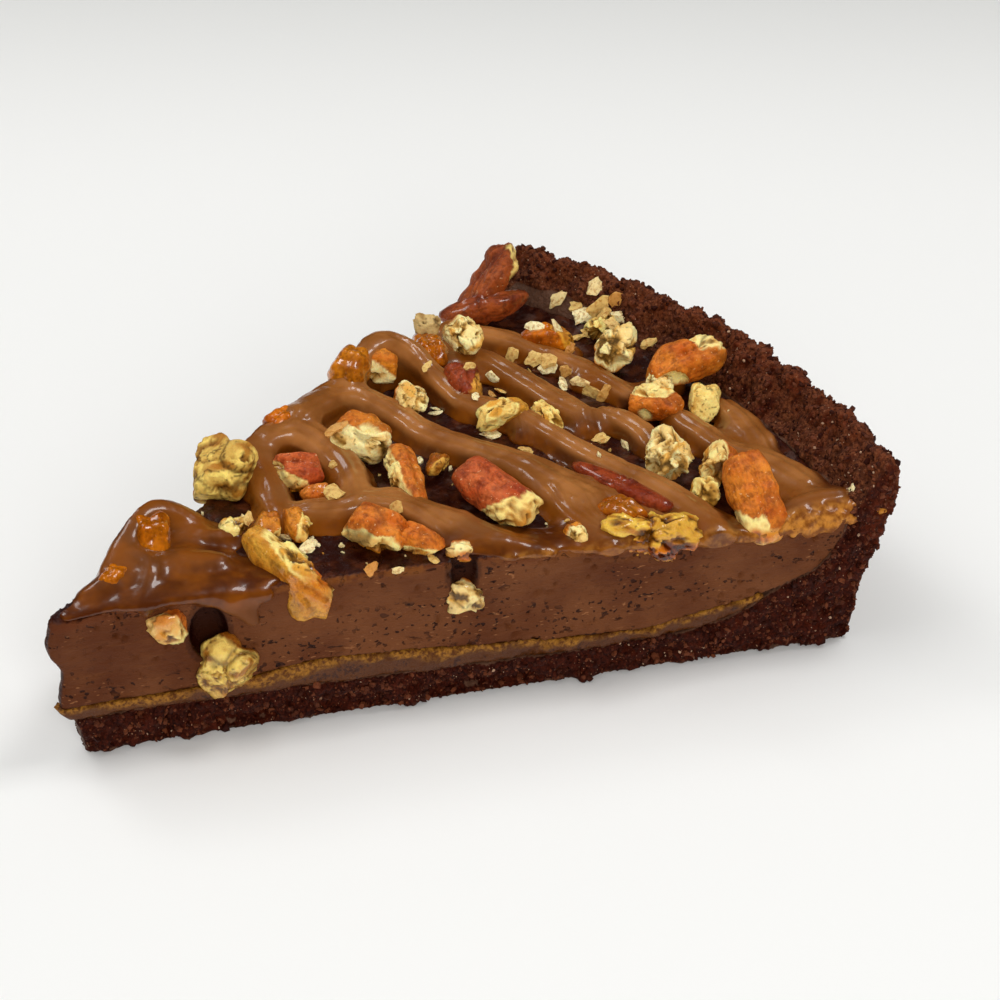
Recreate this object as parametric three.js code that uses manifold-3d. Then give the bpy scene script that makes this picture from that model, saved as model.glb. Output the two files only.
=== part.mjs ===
// One slice of a chocolate pecan tart, cut as an eighth of a 25 cm tart, in millimetres with +Z up.
// The slice is worked out with the tart's axis at the origin, the point of the slice on the axis and
// the middle of the crust along +X, and is then moved so that it stands centred on the origin.
import * as THREE from 'three';
import { mergeVertices } from 'three/addons/utils/BufferGeometryUtils.js';
import { ImprovedNoise } from 'three/addons/math/ImprovedNoise.js';
import Module from 'manifold-3d';

const wasm = await Module();
wasm.setup();

// Driving dimensions of the tart and of the cut.
const sliceAngle = THREE.MathUtils.degToRad(44);
const gap = 0.3;
const tipHalfWidth = 1.1;
const tipFade = 7;

// The middle of the finished slice, seen from above, measured from the tart's axis.
const middle = { x: 62, y: 0.4 };

// The crust's section as radius and height: its flat underside with the outer wall up to the crest,
// and, point for point, the crumb's upper side with the inner wall up to the same crest.
const crustOutside = [
  [2.4, 0], [12, 0], [24, 0], [36, 0], [48, 0], [60, 0], [72, 0], [85, 0], [99, 0], [110, 0],
  [118.8, 0], [120.3, 7], [122, 13], [123.8, 19], [125.4, 24.5], [125, 29.4],
];
const crustInside = [
  [0.9, 6.4], [12, 6.2], [24, 6], [36, 6.1], [48, 5.8], [60, 5.4], [72, 5.2], [85, 5.3], [98, 6.6],
  [106, 8.7], [112.4, 12.6], [115.6, 16.4], [117.2, 19.6], [118.3, 22.8], [120.4, 26], [123.2, 29.6],
];
const crestRise = 0.9;
const crumbRelief = 1;
const crumbSize = 4.6;
const underEdge = 0.8;

// The golden caramel layer's upper side, point for point over the crumb until it thins out at the wall.
const caramelUpper = [
  [-0.9, 8.7], [12, 8.4], [24, 8.7], [35.8, 10.2], [46, 10], [59.8, 8.8], [72, 7.8], [85, 7.4],
  [96.8, 9.1], [104.6, 10.6],
];

// The ganache's top as radius and height, and how much it falls towards the near cut.
const ganacheUpper = [
  [-1.2, 23.9], [12, 24.6], [24, 24.7], [36, 24.9], [48, 24.8], [60, 24.5], [72, 24], [85, 23.4],
  [96, 22.8], [104, 22.5], [109, 22.4], [113, 22.5], [115.6, 22.8], [117.5, 23.4],
];
const nearFall = 0.5;

// Small bodies use one seeded number row: the same piece and index always give the same number.
function numberFor(seed, index) {
  const wave = Math.sin(seed * 12.9898 + index * 78.233) * 43758.5453;
  return wave - Math.floor(wave);
}

// Uneven surfaces: broad swells, and finer and lower ones between them.
const noise = new ImprovedNoise();
const finerBy = 2.3;
const fineShare = 0.5;
const fineShift = 7;

function unevenness(place, size) {
  const finer = size / finerBy;
  const coarse = noise.noise(place.x / size, place.y / size, place.z / size);
  const fine = noise.noise(place.x / finer + fineShift, place.y / finer, place.z / finer);
  return coarse + fineShare * fine;
}

// A place in the slice: a runs from the near cut at -1 to the far cut at +1. The point is a little
// blunt.
function placeInSlice(radius, a, height) {
  const angle = a * sliceAngle / 2;
  const blunt = a * tipHalfWidth * Math.exp(-Math.max(radius, 0) / tipFade);
  return new THREE.Vector3(radius * Math.cos(angle), radius * Math.sin(angle) + blunt, height);
}

function outwardFromCut(a) {
  const angle = a * sliceAngle / 2;
  return new THREE.Vector3(-Math.sin(angle), Math.cos(angle), 0).multiplyScalar(Math.sign(a));
}

// A section line moved off itself, to the side that faces the middle of the tart.
function offsetLine(line, distance) {
  return line.map((point, index) => {
    const before = line[Math.max(index - 1, 0)];
    const after = line[Math.min(index + 1, line.length - 1)];
    const run = new THREE.Vector2(after[0] - before[0], after[1] - before[1]).normalize();
    return [point[0] - run.y * distance, point[1] + run.x * distance];
  });
}

function sectionCurve(line) {
  return new THREE.SplineCurve(line.map(([radius, height]) => new THREE.Vector2(radius, height)));
}

// A layer of the tart: a block bent to the slice, with one side on each of two section lines.
// s runs along the section lines, a across the slice and t from the lower line to the upper one.
function layerForm({ lower, upper, stepsAlong, stepsAcross, stepsThrough, finish }) {
  const lowerCurve = sectionCurve(lower);
  const upperCurve = sectionCurve(upper);
  const block = new THREE.BoxGeometry(1, 1, 1, stepsAlong, stepsAcross, stepsThrough);
  block.deleteAttribute('normal');
  block.deleteAttribute('uv');
  const form = mergeVertices(block);
  const position = form.getAttribute('position');
  for (let index = 0; index < position.count; index += 1) {
    const s = position.getX(index) + 0.5;
    const a = position.getY(index) * 2;
    const t = position.getZ(index) + 0.5;
    const section = lowerCurve.getPoint(s).lerp(upperCurve.getPoint(s), t);
    const place = placeInSlice(section.x, a, Math.max(0, section.y));
    finish(place, { s, a, t, radius: section.x });
    position.setXYZ(index, place.x, place.y, place.z);
  }
  return form;
}

// A closed triangle mesh as a solid that can be joined and cut, and back.
function solidFrom(geometry) {
  const plain = geometry.clone();
  plain.deleteAttribute('normal');
  plain.deleteAttribute('uv');
  const merged = mergeVertices(plain);
  return new wasm.Manifold(new wasm.Mesh({
    numProp: 3,
    vertProperties: new Float32Array(merged.getAttribute('position').array),
    triVerts: new Uint32Array(merged.getIndex().array),
  }));
}

function geometryFrom(solid) {
  const mesh = solid.getMesh();
  const geometry = new THREE.BufferGeometry();
  geometry.setAttribute('position', new THREE.BufferAttribute(new Float32Array(mesh.vertProperties), 3));
  geometry.setIndex(new THREE.BufferAttribute(new Uint32Array(mesh.triVerts), 1));
  geometry.computeVertexNormals();
  return geometry;
}

// Loose scraps that a cut leaves behind are dropped: only the largest body stays.
function largestBody(solid) {
  const bodies = solid.decompose();
  return bodies.reduce((best, body) => (body.volume() > best.volume() ? body : best));
}

// Crust: one baked piece of dark cocoa crumb, a flat base that turns up into the rim.
// Its broken crumb shows on both cuts, on the outer wall and on the crest.
const rimTop = 24.5;
const outerWallFrom = 0.66;
const crestShare = 0.5;
const innerRimShare = 0.6;
const cutShare = 0.8;

function crustFinish(place, { s, a, t }, clearance) {
  const bump = unevenness(place, crumbSize) * crumbRelief;
  const outward = new THREE.Vector3(place.x, place.y, 0).normalize();
  const onWall = t === 0 && s > outerWallFrom;
  const onInnerRim = t === 1 && place.z > rimTop;
  if (s === 1) {
    place.z += crestRise * 4 * t * (1 - t) + bump;
    place.addScaledVector(outward, crestShare * bump);
  } else if (onWall) {
    place.addScaledVector(outward, bump);
  } else if (onInnerRim) {
    place.addScaledVector(outward, -innerRimShare * bump);
  }
  if (Math.abs(a) === 1) {
    const worn = t === 0 && place.z === 0 ? underEdge : 0;
    place.addScaledVector(outwardFromCut(a), cutShare * bump - worn + clearance);
  }
}

function crustForm(clearance) {
  return layerForm({
    lower: crustOutside,
    upper: offsetLine(crustInside, clearance),
    stepsAlong: 30,
    stepsAcross: 14,
    stepsThrough: 2,
    finish: (place, station) => crustFinish(place, station, clearance),
  });
}

// Caramel layer: a thin golden sheet poured on the crumb, seen as an uneven line at both cuts.
function caramelLayerForm() {
  return layerForm({
    lower: offsetLine(crustInside, gap).slice(0, caramelUpper.length),
    upper: caramelUpper,
    stepsAlong: 18,
    stepsAcross: 6,
    stepsThrough: 1,
    finish: () => {},
  });
}

// Ganache: the thick chocolate filling, poured level inside the rim and a little uneven on top.
const ganacheWave = 0.35;
const ganacheWaveSize = 14;
const pointBulge = 0.9;

function ganacheTopAt(x, y) {
  const radius = Math.hypot(x, y);
  const beyond = ganacheUpper.findIndex(([r]) => r > radius);
  const outer = ganacheUpper[beyond < 0 ? ganacheUpper.length - 1 : beyond];
  const inner = ganacheUpper[beyond < 0 ? ganacheUpper.length - 1 : Math.max(beyond - 1, 0)];
  const share = outer[0] > inner[0] ? (radius - inner[0]) / (outer[0] - inner[0]) : 0;
  const a = Math.atan2(y, Math.max(x, 1)) / (sliceAngle / 2);
  return THREE.MathUtils.lerp(inner[1], outer[1], share) - nearFall * (1 - a) / 2;
}

function ganacheForm() {
  const overCaramel = offsetLine(caramelUpper, gap);
  const alongWall = offsetLine(crustInside, 2 * gap).slice(caramelUpper.length, ganacheUpper.length);
  return layerForm({
    lower: [...overCaramel, ...alongWall],
    upper: ganacheUpper,
    stepsAlong: 25,
    stepsAcross: 8,
    stepsThrough: 3,
    finish: (place, { a, t, radius }) => {
      place.z += t * (unevenness(place, ganacheWaveSize) * ganacheWave - nearFall * (1 - a) / 2);
      place.x += pointBulge * Math.sin(2 * Math.PI * t) * Math.exp(-Math.max(radius, 0) / tipFade);
    },
  });
}

// Thick drizzle: poured strands of caramel. Each point gives x, y, the height of the strand's centre
// above the ganache and half of the strand's width. A strand is a little lower than it is wide, and a
// wide pool is no deeper than a strand.
const strandFlatness = 0.85;
const poolDepth = 2;
const strandSides = 6;
const stepsPerPoint = 1.15;
const endRounding = 0.45;

const drizzle = [
  // Strands from the far cut across to the near cut.
  [[64, 25, 3.2, 2.4], [70, 28, 6.2, 2.4], [75, 29.8, 7, 2.5], [79, 27.4, 5, 2.4], [80.6, 22, 2.2, 2],
    [80.4, 15, 1.3, 2.6], [83, 9, 1, 2.6], [85, 3, 1, 2.1], [86.4, -9, 1, 2.2], [89, -22, 1, 2.5],
    [90, -34, 0.4, 2.6]],
  [[53, 20, 4.4, 3], [60, 22.8, 3.8, 3.2], [65.5, 22.6, 2.6, 3], [68.4, 16, 1.6, 2.8], [69.2, 9, 1, 2.6],
    [72.4, 1, 1, 2.5], [75.6, -7, 1.2, 3.2], [76.8, -18, 1.3, 4.4]],
  [[75, -16, 1, 2.6], [74, -23, 0.8, 2.5], [74.6, -30, 0, 2.2]],
  [[80, -16, 1, 2.6], [83.4, -25, 0.8, 2.4], [86, -32, 0, 2.4]],
  [[46, 19, 3.4, 3], [51.4, 17.4, 3.2, 3.5], [53, 9, 1.7, 2.8], [50, 0, 1.3, 2.9], [46, -2.6, 1.3, 2.8],
    [41, 0, 0.9, 2.2]],
  [[45.6, 19.6, 3, 2.5], [41.6, 13, 2, 2.5], [37, 1, 0.6, 2]],
  [[50, -3.2, 1.1, 2.6], [55.4, -9.6, 1, 2.6], [59, -17.4, 0.8, 3.6], [61.6, -22, 0.2, 2.6],
    [66, -26.4, 0, 1.4]],
  [[93, 35, 1.8, 2], [99, 29, 1.2, 2.1], [101.6, 20, 1, 2], [103.8, 12, 0.8, 2], [104.4, 3, 0.6, 1.8]],
  [[88.6, 31, 1.8, 2.1], [92, 23, 1.1, 1.9], [92.6, 13, 0.9, 2.1], [93.4, 1, 0.9, 2.4]],
  [[97.8, 0, 0.8, 1.7], [98.2, -7, 1, 2.2], [97, -14, 0.3, 1.8]],
  [[106.4, -7, 0.8, 2], [105.8, -19, 1, 2.6], [109, -28, 1.2, 4.2], [108.4, -35, 1, 4.8],
    [109.4, -41, 0.4, 3]],
  [[114.4, -9.6, 0.7, 2.1], [113.2, -16, 0.9, 2.4], [111, -22, 1, 2.6]],
  // The pool at the point, with the coated lump on its far edge.
  [[1, 0, 0.2, 1.2], [8, 1, 0.3, 3.2], [15, 1.1, 0.5, 5.4], [21, -1.6, 0.5, 5.4], [27, -8, 0.4, 3.2]],
  [[12, 3.6, 1.2, 2.2], [17, 6.2, 3.6, 2.4], [21.6, 8, 4, 2.4], [26, 6.8, 1, 2.4]],
  // The aprons that hang over the near cut.
  [[19, -6.8, -0.8, 1.8], [23.4, -9, -1.6, 2], [25.2, -10.2, -6.4, 1.2]],
  [[76, -29.6, -0.4, 1.9], [86, -33.4, -0.5, 2.1], [97, -38.6, -0.6, 1.8]],
  [[99, -38.8, -0.6, 1.8], [106, -41.4, -0.8, 2.1], [113.4, -44.4, -0.8, 1.6]],
  // The bed of caramel under the pieces on the far edge.
  [[64, 24.4, 1.6, 2.4], [70, 28, 1.8, 2.4], [76, 29, 1.8, 2.4]],
  [[91, 35.6, 1.4, 2.4], [97, 36.4, 1.4, 2.4]],
];

// A strand is a round bar bent along its points, level from side to side, with rounded ends.
function strandForm(points) {
  const centre = new THREE.CatmullRomCurve3(
    points.map(([x, y, lift]) => new THREE.Vector3(x, y, ganacheTopAt(x, y) + lift)),
  );
  const steps = Math.round(stepsPerPoint * points.length);
  const bar = new THREE.CylinderGeometry(1, 1, 1, strandSides, steps);
  bar.deleteAttribute('normal');
  bar.deleteAttribute('uv');
  const form = mergeVertices(bar);
  const position = form.getAttribute('position');
  const up = new THREE.Vector3(0, 0, 1);
  for (let index = 0; index < position.count; index += 1) {
    const u = position.getY(index) + 0.5;
    const station = Math.min(u * (points.length - 1), points.length - 1.001);
    const first = points[Math.floor(station)];
    const second = points[Math.floor(station) + 1];
    const halfWidth = THREE.MathUtils.lerp(first[3], second[3], station % 1);
    const rounding = Math.min(1, endRounding + (1 - endRounding) * Math.min(u, 1 - u) * steps);
    const along = centre.getTangent(u);
    const halfHeight = Math.min(halfWidth * strandFlatness, poolDepth);
    const side = along.clone().cross(up).normalize();
    const upward = side.clone().cross(along);
    const place = centre.getPoint(u);
    place.addScaledVector(side, position.getX(index) * halfWidth * rounding);
    place.addScaledVector(upward, position.getZ(index) * halfHeight * rounding);
    position.setXYZ(index, place.x, place.y, place.z);
  }
  return form;
}

// The knife cut the strands too, so the caramel stands out past the cuts by no more than this. The
// limit is a wedge that is longer and higher than the slice.
const caramelOverhang = 0.7;
const limitStart = -1.6;
const limitHeight = 50;

function caramelLimit() {
  const reach = 130;
  const halfAtPoint = tipHalfWidth + caramelOverhang;
  const halfAtRim = reach * Math.tan(sliceAngle / 2) + caramelOverhang;
  const outline = new THREE.Shape([
    new THREE.Vector2(limitStart, -halfAtPoint),
    new THREE.Vector2(reach, -halfAtRim),
    new THREE.Vector2(reach, halfAtRim),
    new THREE.Vector2(limitStart, halfAtPoint),
  ]);
  return new THREE.ExtrudeGeometry(outline, { depth: limitHeight, bevelEnabled: false });
}

// Small broken crumbs of pecan that lie on the ganache, drawn from a seeded row of numbers.
const crumbCount = 7;
const crumbSeed = 5;
const crumbsFrom = 28;
const crumbsReach = 84;
const crumbsSpread = 0.9;
const crumbHalf = 0.9;
const crumbShape = [1.3, 1, 0.8];
const crumbLift = 0.3;

function pecanCrumbs() {
  const crumbs = [];
  for (let index = 0; index < crumbCount; index += 1) {
    const radius = crumbsFrom + crumbsReach * Math.sqrt(numberFor(crumbSeed, 3 * index));
    const angle = (numberFor(crumbSeed, 3 * index + 1) - 0.5) * crumbsSpread * sliceAngle;
    const size = crumbHalf * (1 + numberFor(crumbSeed, 3 * index + 2));
    const x = radius * Math.cos(angle);
    const y = radius * Math.sin(angle);
    const crumb = new THREE.IcosahedronGeometry(1, 0);
    crumb.scale(...crumbShape.map((share) => share * size));
    crumb.rotateZ(index);
    crumb.translate(x, y, ganacheTopAt(x, y) + crumbLift * size);
    crumbs.push(crumb);
  }
  return crumbs;
}

// Hollows in the near cut: the pocket over the piece stuck in the cut, and the notch in its top edge.
const hollows = [
  { place: [19.4, -8.2, 17.8], radii: [2.8, 3.4, 4.5], turn: -22 },
  { place: [54, -22.6, 22], radii: [2.1, 2.7, 4.2], turn: -22 },
];

function hollowForm({ place, radii, turn }) {
  const ball = new THREE.IcosahedronGeometry(1, 1);
  ball.scale(...radii);
  ball.rotateZ(THREE.MathUtils.degToRad(turn));
  ball.translate(...place);
  return ball;
}

// Pecan pieces. Each is broken from a half kernel: an oblong form with a groove along its skin side,
// cut by a few slanting breaks. place is its middle, size its length, width and height, and turn,
// pitch and roll, in degrees, are about Z, Y and X in that order outwards from the piece itself.
const pecans = [
  { name: 'tip_coated', place: [19.2, 6.8, 26.7], size: [9.4, 5.8, 6.8], turn: 66, pitch: 0, roll: 0 },
  { name: 'tip_small', place: [10, 1.8, 25.7], size: [5.2, 3.4, 3.2], turn: 30, pitch: 0, roll: 0 },
  { name: 'tip_front', place: [14, -5.4, 19.9], size: [5.8, 5, 7], turn: -22, pitch: 0, roll: 60 },
  { name: 'cut_pocket', place: [21.4, -8.4, 11.6], size: [11, 6.4, 9.6], turn: -22, pitch: -20, roll: 0 },
  { name: 'far_left', place: [35.8, 14.6, 28.2], size: [11.4, 7.6, 10.5], turn: -35, pitch: -8, roll: -70 },
  { name: 'red_small', place: [45.8, 9.6, 27.2], size: [7.6, 6.4, 5.6], turn: -25, pitch: 0, roll: 25 },
  { name: 'orange_small', place: [45, 3, 26.2], size: [4.4, 3.2, 3.2], turn: -36, pitch: 0, roll: 20 },
  { name: 'cream_tall', place: [57.8, 10.2, 28.2], size: [9.6, 5.2, 8], turn: -60, pitch: 15, roll: -80 },
  { name: 'long_slanted', place: [58.4, -1.6, 27], size: [16, 4.2, 4.4], turn: -112, pitch: 10, roll: -40 },
  { name: 'olive_small', place: [64.8, -0.4, 26.2], size: [6.6, 2.8, 3], turn: 41, pitch: 10, roll: 0 },
  { name: 'lobe_left', place: [46.4, -10.8, 27.2], size: [8.8, 6.4, 6], turn: -56, pitch: 0, roll: 25 },
  { name: 'lobe_right', place: [50.8, -16, 25.8], size: [6.6, 3.8, 4.8], turn: -66, pitch: 0, roll: 20 },
  { name: 'edge_cream', place: [55.2, -19.9, 24.2], size: [4.4, 3, 3.2], turn: -44, pitch: 0, roll: 0 },
  { name: 'red_long', place: [66.2, -14, 27.2], size: [18, 6.6, 6.2], turn: -84, pitch: 6, roll: 22 },
  { name: 'tan_first', place: [31, 3, 25.6], size: [6, 3.2, 3], turn: 38, pitch: 0, roll: 0 },
  { name: 'tan_second', place: [34.8, 0.2, 26], size: [6.6, 3.8, 3.6], turn: 64, pitch: 0, roll: 10 },
  { name: 'tan_third', place: [38.6, -1.8, 26], size: [7.2, 3.4, 4], turn: 76, pitch: 0, roll: 0 },
  { name: 'near_long', place: [32.8, -9.6, 24.2], size: [17.4, 5, 6], turn: -68, pitch: 29, roll: -15 },
  { name: 'arch_left', place: [66.4, 27.6, 29.4], size: [7.6, 4.8, 7.2], turn: 34, pitch: -20, roll: 0 },
  { name: 'arch_right', place: [72.8, 25.6, 29], size: [5.6, 3.6, 5.6], turn: -50, pitch: 0, roll: -40 },
  { name: 'far_coated', place: [50.4, 20.8, 28.4], size: [6.6, 4.4, 4.4], turn: 12, pitch: 0, roll: 0 },
  { name: 'mid_cream', place: [72.4, 17.8, 26.9], size: [7.4, 4.4, 4.6], turn: 60, pitch: 0, roll: 30 },
  { name: 'red_oval', place: [83, 18.8, 26.2], size: [7.8, 4.8, 4.8], turn: 72, pitch: 0, roll: 15 },
  { name: 'rear_cream', place: [90.4, 29, 27.8], size: [8, 4.6, 4.8], turn: 76, pitch: 0, roll: -30 },
  { name: 'rear_brown', place: [84.4, 29.6, 26.2], size: [9, 4.6, 4.2], turn: 74, pitch: 0, roll: 0 },
  { name: 'rear_grey', place: [87, 35, 28.6], size: [4.6, 3.8, 4], turn: 60, pitch: 0, roll: 0 },
  { name: 'corner_tall', place: [105.6, 41.8, 29.4], size: [14.4, 8.2, 3.6], turn: 12, pitch: -38, roll: -35 },
  { name: 'corner_low', place: [99.6, 35.2, 26.2], size: [14.4, 4.4, 4], turn: -26, pitch: -12, roll: 0 },
  { name: 'rear_orange', place: [104.6, 24, 24.8], size: [8.4, 5, 4.4], turn: -40, pitch: 0, roll: 0 },
  { name: 'rear_flake', place: [113.6, 21.4, 25.2], size: [7, 5.4, 2.6], turn: 60, pitch: 0, roll: -25 },
  { name: 'cream_popped', place: [108.8, 12, 26.6], size: [9.4, 6, 6.6], turn: 50, pitch: 0, roll: 60 },
  { name: 'rim_orange', place: [115, 0.4, 28], size: [12.4, 6.4, 6], turn: -15, pitch: -12, roll: 30 },
  { name: 'rim_cream', place: [108.4, 1, 24.6], size: [9.4, 3.6, 4], turn: 66, pitch: 0, roll: -20 },
  { name: 'rim_round', place: [111.6, -7.6, 24.7], size: [8.4, 4.8, 5], turn: 50, pitch: 0, roll: 10 },
  { name: 'orange_flat', place: [104.2, -3.8, 25.2], size: [8.6, 5.2, 4.6], turn: -60, pitch: 0, roll: 30 },
  { name: 'yellow_end', place: [81.8, 7.2, 25.8], size: [8.6, 4.4, 4.2], turn: -6, pitch: 0, roll: 0 },
  { name: 'yellow_flake', place: [88.6, 2.4, 25.3], size: [8.2, 2.8, 3.2], turn: 80, pitch: 0, roll: 0 },
  { name: 'curl', place: [95.4, -17.8, 25.2], size: [11, 6.4, 5.4], turn: 42, pitch: 0, roll: 40 },
  { name: 'orange_lobe', place: [100.6, -24.4, 25.6], size: [9, 4.2, 5], turn: 46, pitch: 0, roll: 40 },
  { name: 'orange_big', place: [98.6, -34.6, 25], size: [15.4, 7.2, 6], turn: -108, pitch: 42, roll: -10 },
  { name: 'olive_cream', place: [94.2, -28, 24.4], size: [6, 3.4, 4], turn: 66, pitch: 0, roll: 0 },
  { name: 'red_strip', place: [84.2, -21, 25.1], size: [19, 3.4, 3.2], turn: -79, pitch: 0, roll: 0 },
  { name: 'near_brown', place: [79.2, -25, 25.4], size: [6.6, 4.6, 4], turn: -70, pitch: 0, roll: 0 },
  { name: 'near_yellow', place: [81.2, -32.2, 22.4], size: [17.6, 4.8, 7.4], turn: -24, pitch: 0, roll: 60 },
  { name: 'near_cream', place: [71.2, -26.4, 24.2], size: [4.6, 2.8, 3.4], turn: 70, pitch: 0, roll: 0 },
  { name: 'notch_piece', place: [54.8, -21.3, 17.2], size: [6.2, 5, 4.6], turn: -22, pitch: 10, roll: 80 },
];

// Pieces up to the first length have few faces, and those over the second have the most.
const smallPiece = 5.5;
const largePiece = 16.5;
const halfShare = 0.58;
const kernelPower = 2.2;
const skinFrom = -0.1;
const skinTo = 0.5;
const grooveDepth = 0.22;
const grooveWidth = 0.3;
const wrinkleDepth = 0.04;
const wrinkleTurns = 9;
const breakSlant = 0.9;
const nearestBreak = 0.66;
const breakSpread = 0.24;
const leastFacing = 0.05;

// The breaks of a piece: planes near both ends, under it and on one side, slanted by the piece's seed.
function breakPlanes(seed, half) {
  const faces = [[1, 0, 0], [-1, 0, 0], [0, 0, -1], [0, 1, 0.3], [0.2, -1, -0.4]];
  return faces.map((face, index) => {
    const slant = [0, 1, 2].map((axis) => breakSlant * (numberFor(seed, 5 * index + axis) - 0.5));
    const normal = new THREE.Vector3(...face).add(new THREE.Vector3(...slant)).normalize();
    const support = normal.clone().multiply(half).length();
    return { normal, distance: support * (nearestBreak + breakSpread * numberFor(seed, 5 * index + 3)) };
  });
}

// Every point of the form is found along its direction from the middle: the kernel's grooved skin,
// or the nearest break if that comes first. A clearance grows both alike.
function pecanForm(size, seed, clearance) {
  const half = new THREE.Vector3(...size).multiplyScalar(halfShare);
  const planes = breakPlanes(seed, half);
  const detail = [smallPiece, largePiece].filter((limit) => size[0] > limit).length;
  const ball = new THREE.IcosahedronGeometry(1, detail);
  ball.deleteAttribute('normal');
  ball.deleteAttribute('uv');
  const form = mergeVertices(ball);
  const position = form.getAttribute('position');
  for (let index = 0; index < position.count; index += 1) {
    const direction = new THREE.Vector3().fromBufferAttribute(position, index).normalize();
    const shares = direction.clone().divide(half).toArray();
    const fullness = shares.reduce((sum, share) => sum + Math.abs(share) ** kernelPower, 0);
    const oblong = fullness ** (-1 / kernelPower);
    const onSkin = THREE.MathUtils.smoothstep(direction.z, skinFrom, skinTo);
    const groove = grooveDepth * onSkin * Math.exp(-((direction.y / grooveWidth) ** 2));
    const wrinkle = wrinkleDepth * Math.sin(wrinkleTurns * direction.x + seed);
    let reach = oblong * (1 - groove + wrinkle) + clearance;
    for (const { normal, distance } of planes) {
      const facing = normal.dot(direction);
      if (facing > leastFacing) {
        reach = Math.min(reach, (distance + clearance) / facing);
      }
    }
    direction.multiplyScalar(reach);
    position.setXYZ(index, direction.x, direction.y, direction.z);
  }
  form.computeVertexNormals();
  return form;
}

function placePecan(object, { place, turn, pitch, roll }) {
  object.position.set(...place);
  object.rotation.set(
    THREE.MathUtils.degToRad(roll),
    THREE.MathUtils.degToRad(pitch),
    THREE.MathUtils.degToRad(turn),
    'ZYX',
  );
  object.updateMatrixWorld();
}

// Finishes as seen: dark cocoa crumb, golden caramel, mid-brown ganache and orange-brown nut skin.
const finishes = {
  crust: { color: 0x33201a, roughness: 0.95, metalness: 0 },
  caramelLayer: { color: 0x7c5220, roughness: 0.6, metalness: 0 },
  ganache: { color: 0x4d3026, roughness: 0.5, metalness: 0 },
  pecan: { color: 0xb8702c, roughness: 0.55, metalness: 0 },
};

function namedMesh(name, geometry, finish) {
  const mesh = new THREE.Mesh(geometry, new THREE.MeshStandardMaterial(finish));
  mesh.name = name;
  return mesh;
}

// The pecan pieces come first, because everything that carries them gets a pocket for each.
const tart = new THREE.Group();
const pockets = [];

pecans.forEach((pecan, index) => {
  const mesh = namedMesh(`pecan_${pecan.name}`, pecanForm(pecan.size, index + 1, 0), finishes.pecan);
  placePecan(mesh, pecan);
  tart.add(mesh);
  const pocket = pecanForm(pecan.size, index + 1, gap);
  pocket.applyMatrix4(mesh.matrixWorld);
  pockets.push(solidFrom(pocket));
});

function withPockets(solid) {
  const carved = pockets.reduce((rest, pocket) => rest.subtract(pocket), solid);
  return largestBody(carved);
}

const crust = withPockets(solidFrom(crustForm(0)));
const caramelLayer = withPockets(solidFrom(caramelLayerForm()));

const strands = drizzle.map((points) => solidFrom(strandForm(points)));
const pouredCaramel = strands.reduce((sum, strand) => sum.add(strand))
  .intersect(solidFrom(caramelLimit()))
  .subtract(solidFrom(crustForm(gap)));
const crumbs = pecanCrumbs().map((crumb) => solidFrom(crumb));
const filling = [pouredCaramel, ...crumbs].reduce((sum, solid) => sum.add(solid), solidFrom(ganacheForm()));
const ganache = hollows.reduce((rest, hollow) => rest.subtract(solidFrom(hollowForm(hollow))), filling);

tart.add(namedMesh('crust', geometryFrom(crust), finishes.crust));
tart.add(namedMesh('caramel_layer', geometryFrom(caramelLayer), finishes.caramelLayer));
tart.add(namedMesh('ganache', geometryFrom(withPockets(ganache)), finishes.ganache));
tart.position.set(-middle.x, -middle.y, 0);

export default tart;
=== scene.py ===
import math
import random

import bmesh
import bpy
import numpy as np
from mathutils import Euler, Matrix, Vector
from mathutils.bvhtree import BVHTree


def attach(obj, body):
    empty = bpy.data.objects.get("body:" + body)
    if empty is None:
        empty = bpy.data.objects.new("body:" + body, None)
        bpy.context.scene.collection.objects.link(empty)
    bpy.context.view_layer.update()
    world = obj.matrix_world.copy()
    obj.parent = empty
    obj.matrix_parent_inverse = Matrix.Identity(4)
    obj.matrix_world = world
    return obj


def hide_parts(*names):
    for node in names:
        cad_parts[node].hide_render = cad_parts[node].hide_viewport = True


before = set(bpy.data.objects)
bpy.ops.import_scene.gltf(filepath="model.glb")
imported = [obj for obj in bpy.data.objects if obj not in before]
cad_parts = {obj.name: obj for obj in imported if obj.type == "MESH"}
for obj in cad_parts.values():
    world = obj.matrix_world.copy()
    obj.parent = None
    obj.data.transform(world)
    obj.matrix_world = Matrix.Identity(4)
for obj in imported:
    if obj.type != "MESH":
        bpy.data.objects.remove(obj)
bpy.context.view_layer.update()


# Camera: a long lens a little above the table, looking across the near cut from the point of the
# slice towards the crust.
scene = bpy.context.scene
scene.view_settings.view_transform = 'Standard'
camera_place = Vector((-0.18307, -0.26951, 0.22064))
camera_target = Vector((0.01149, -0.00493, 0.01873))
lens_length = 90

camera_data = bpy.data.cameras.new("camera")
camera_data.lens = lens_length
camera_data.sensor_width = 36
camera_data.clip_start = 0.01
camera = bpy.data.objects.new("camera", camera_data)
camera.location = camera_place
camera.rotation_euler = (camera_target - camera_place).to_track_quat('-Z', 'Y').to_euler()
scene.collection.objects.link(camera)
scene.camera = camera


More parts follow.
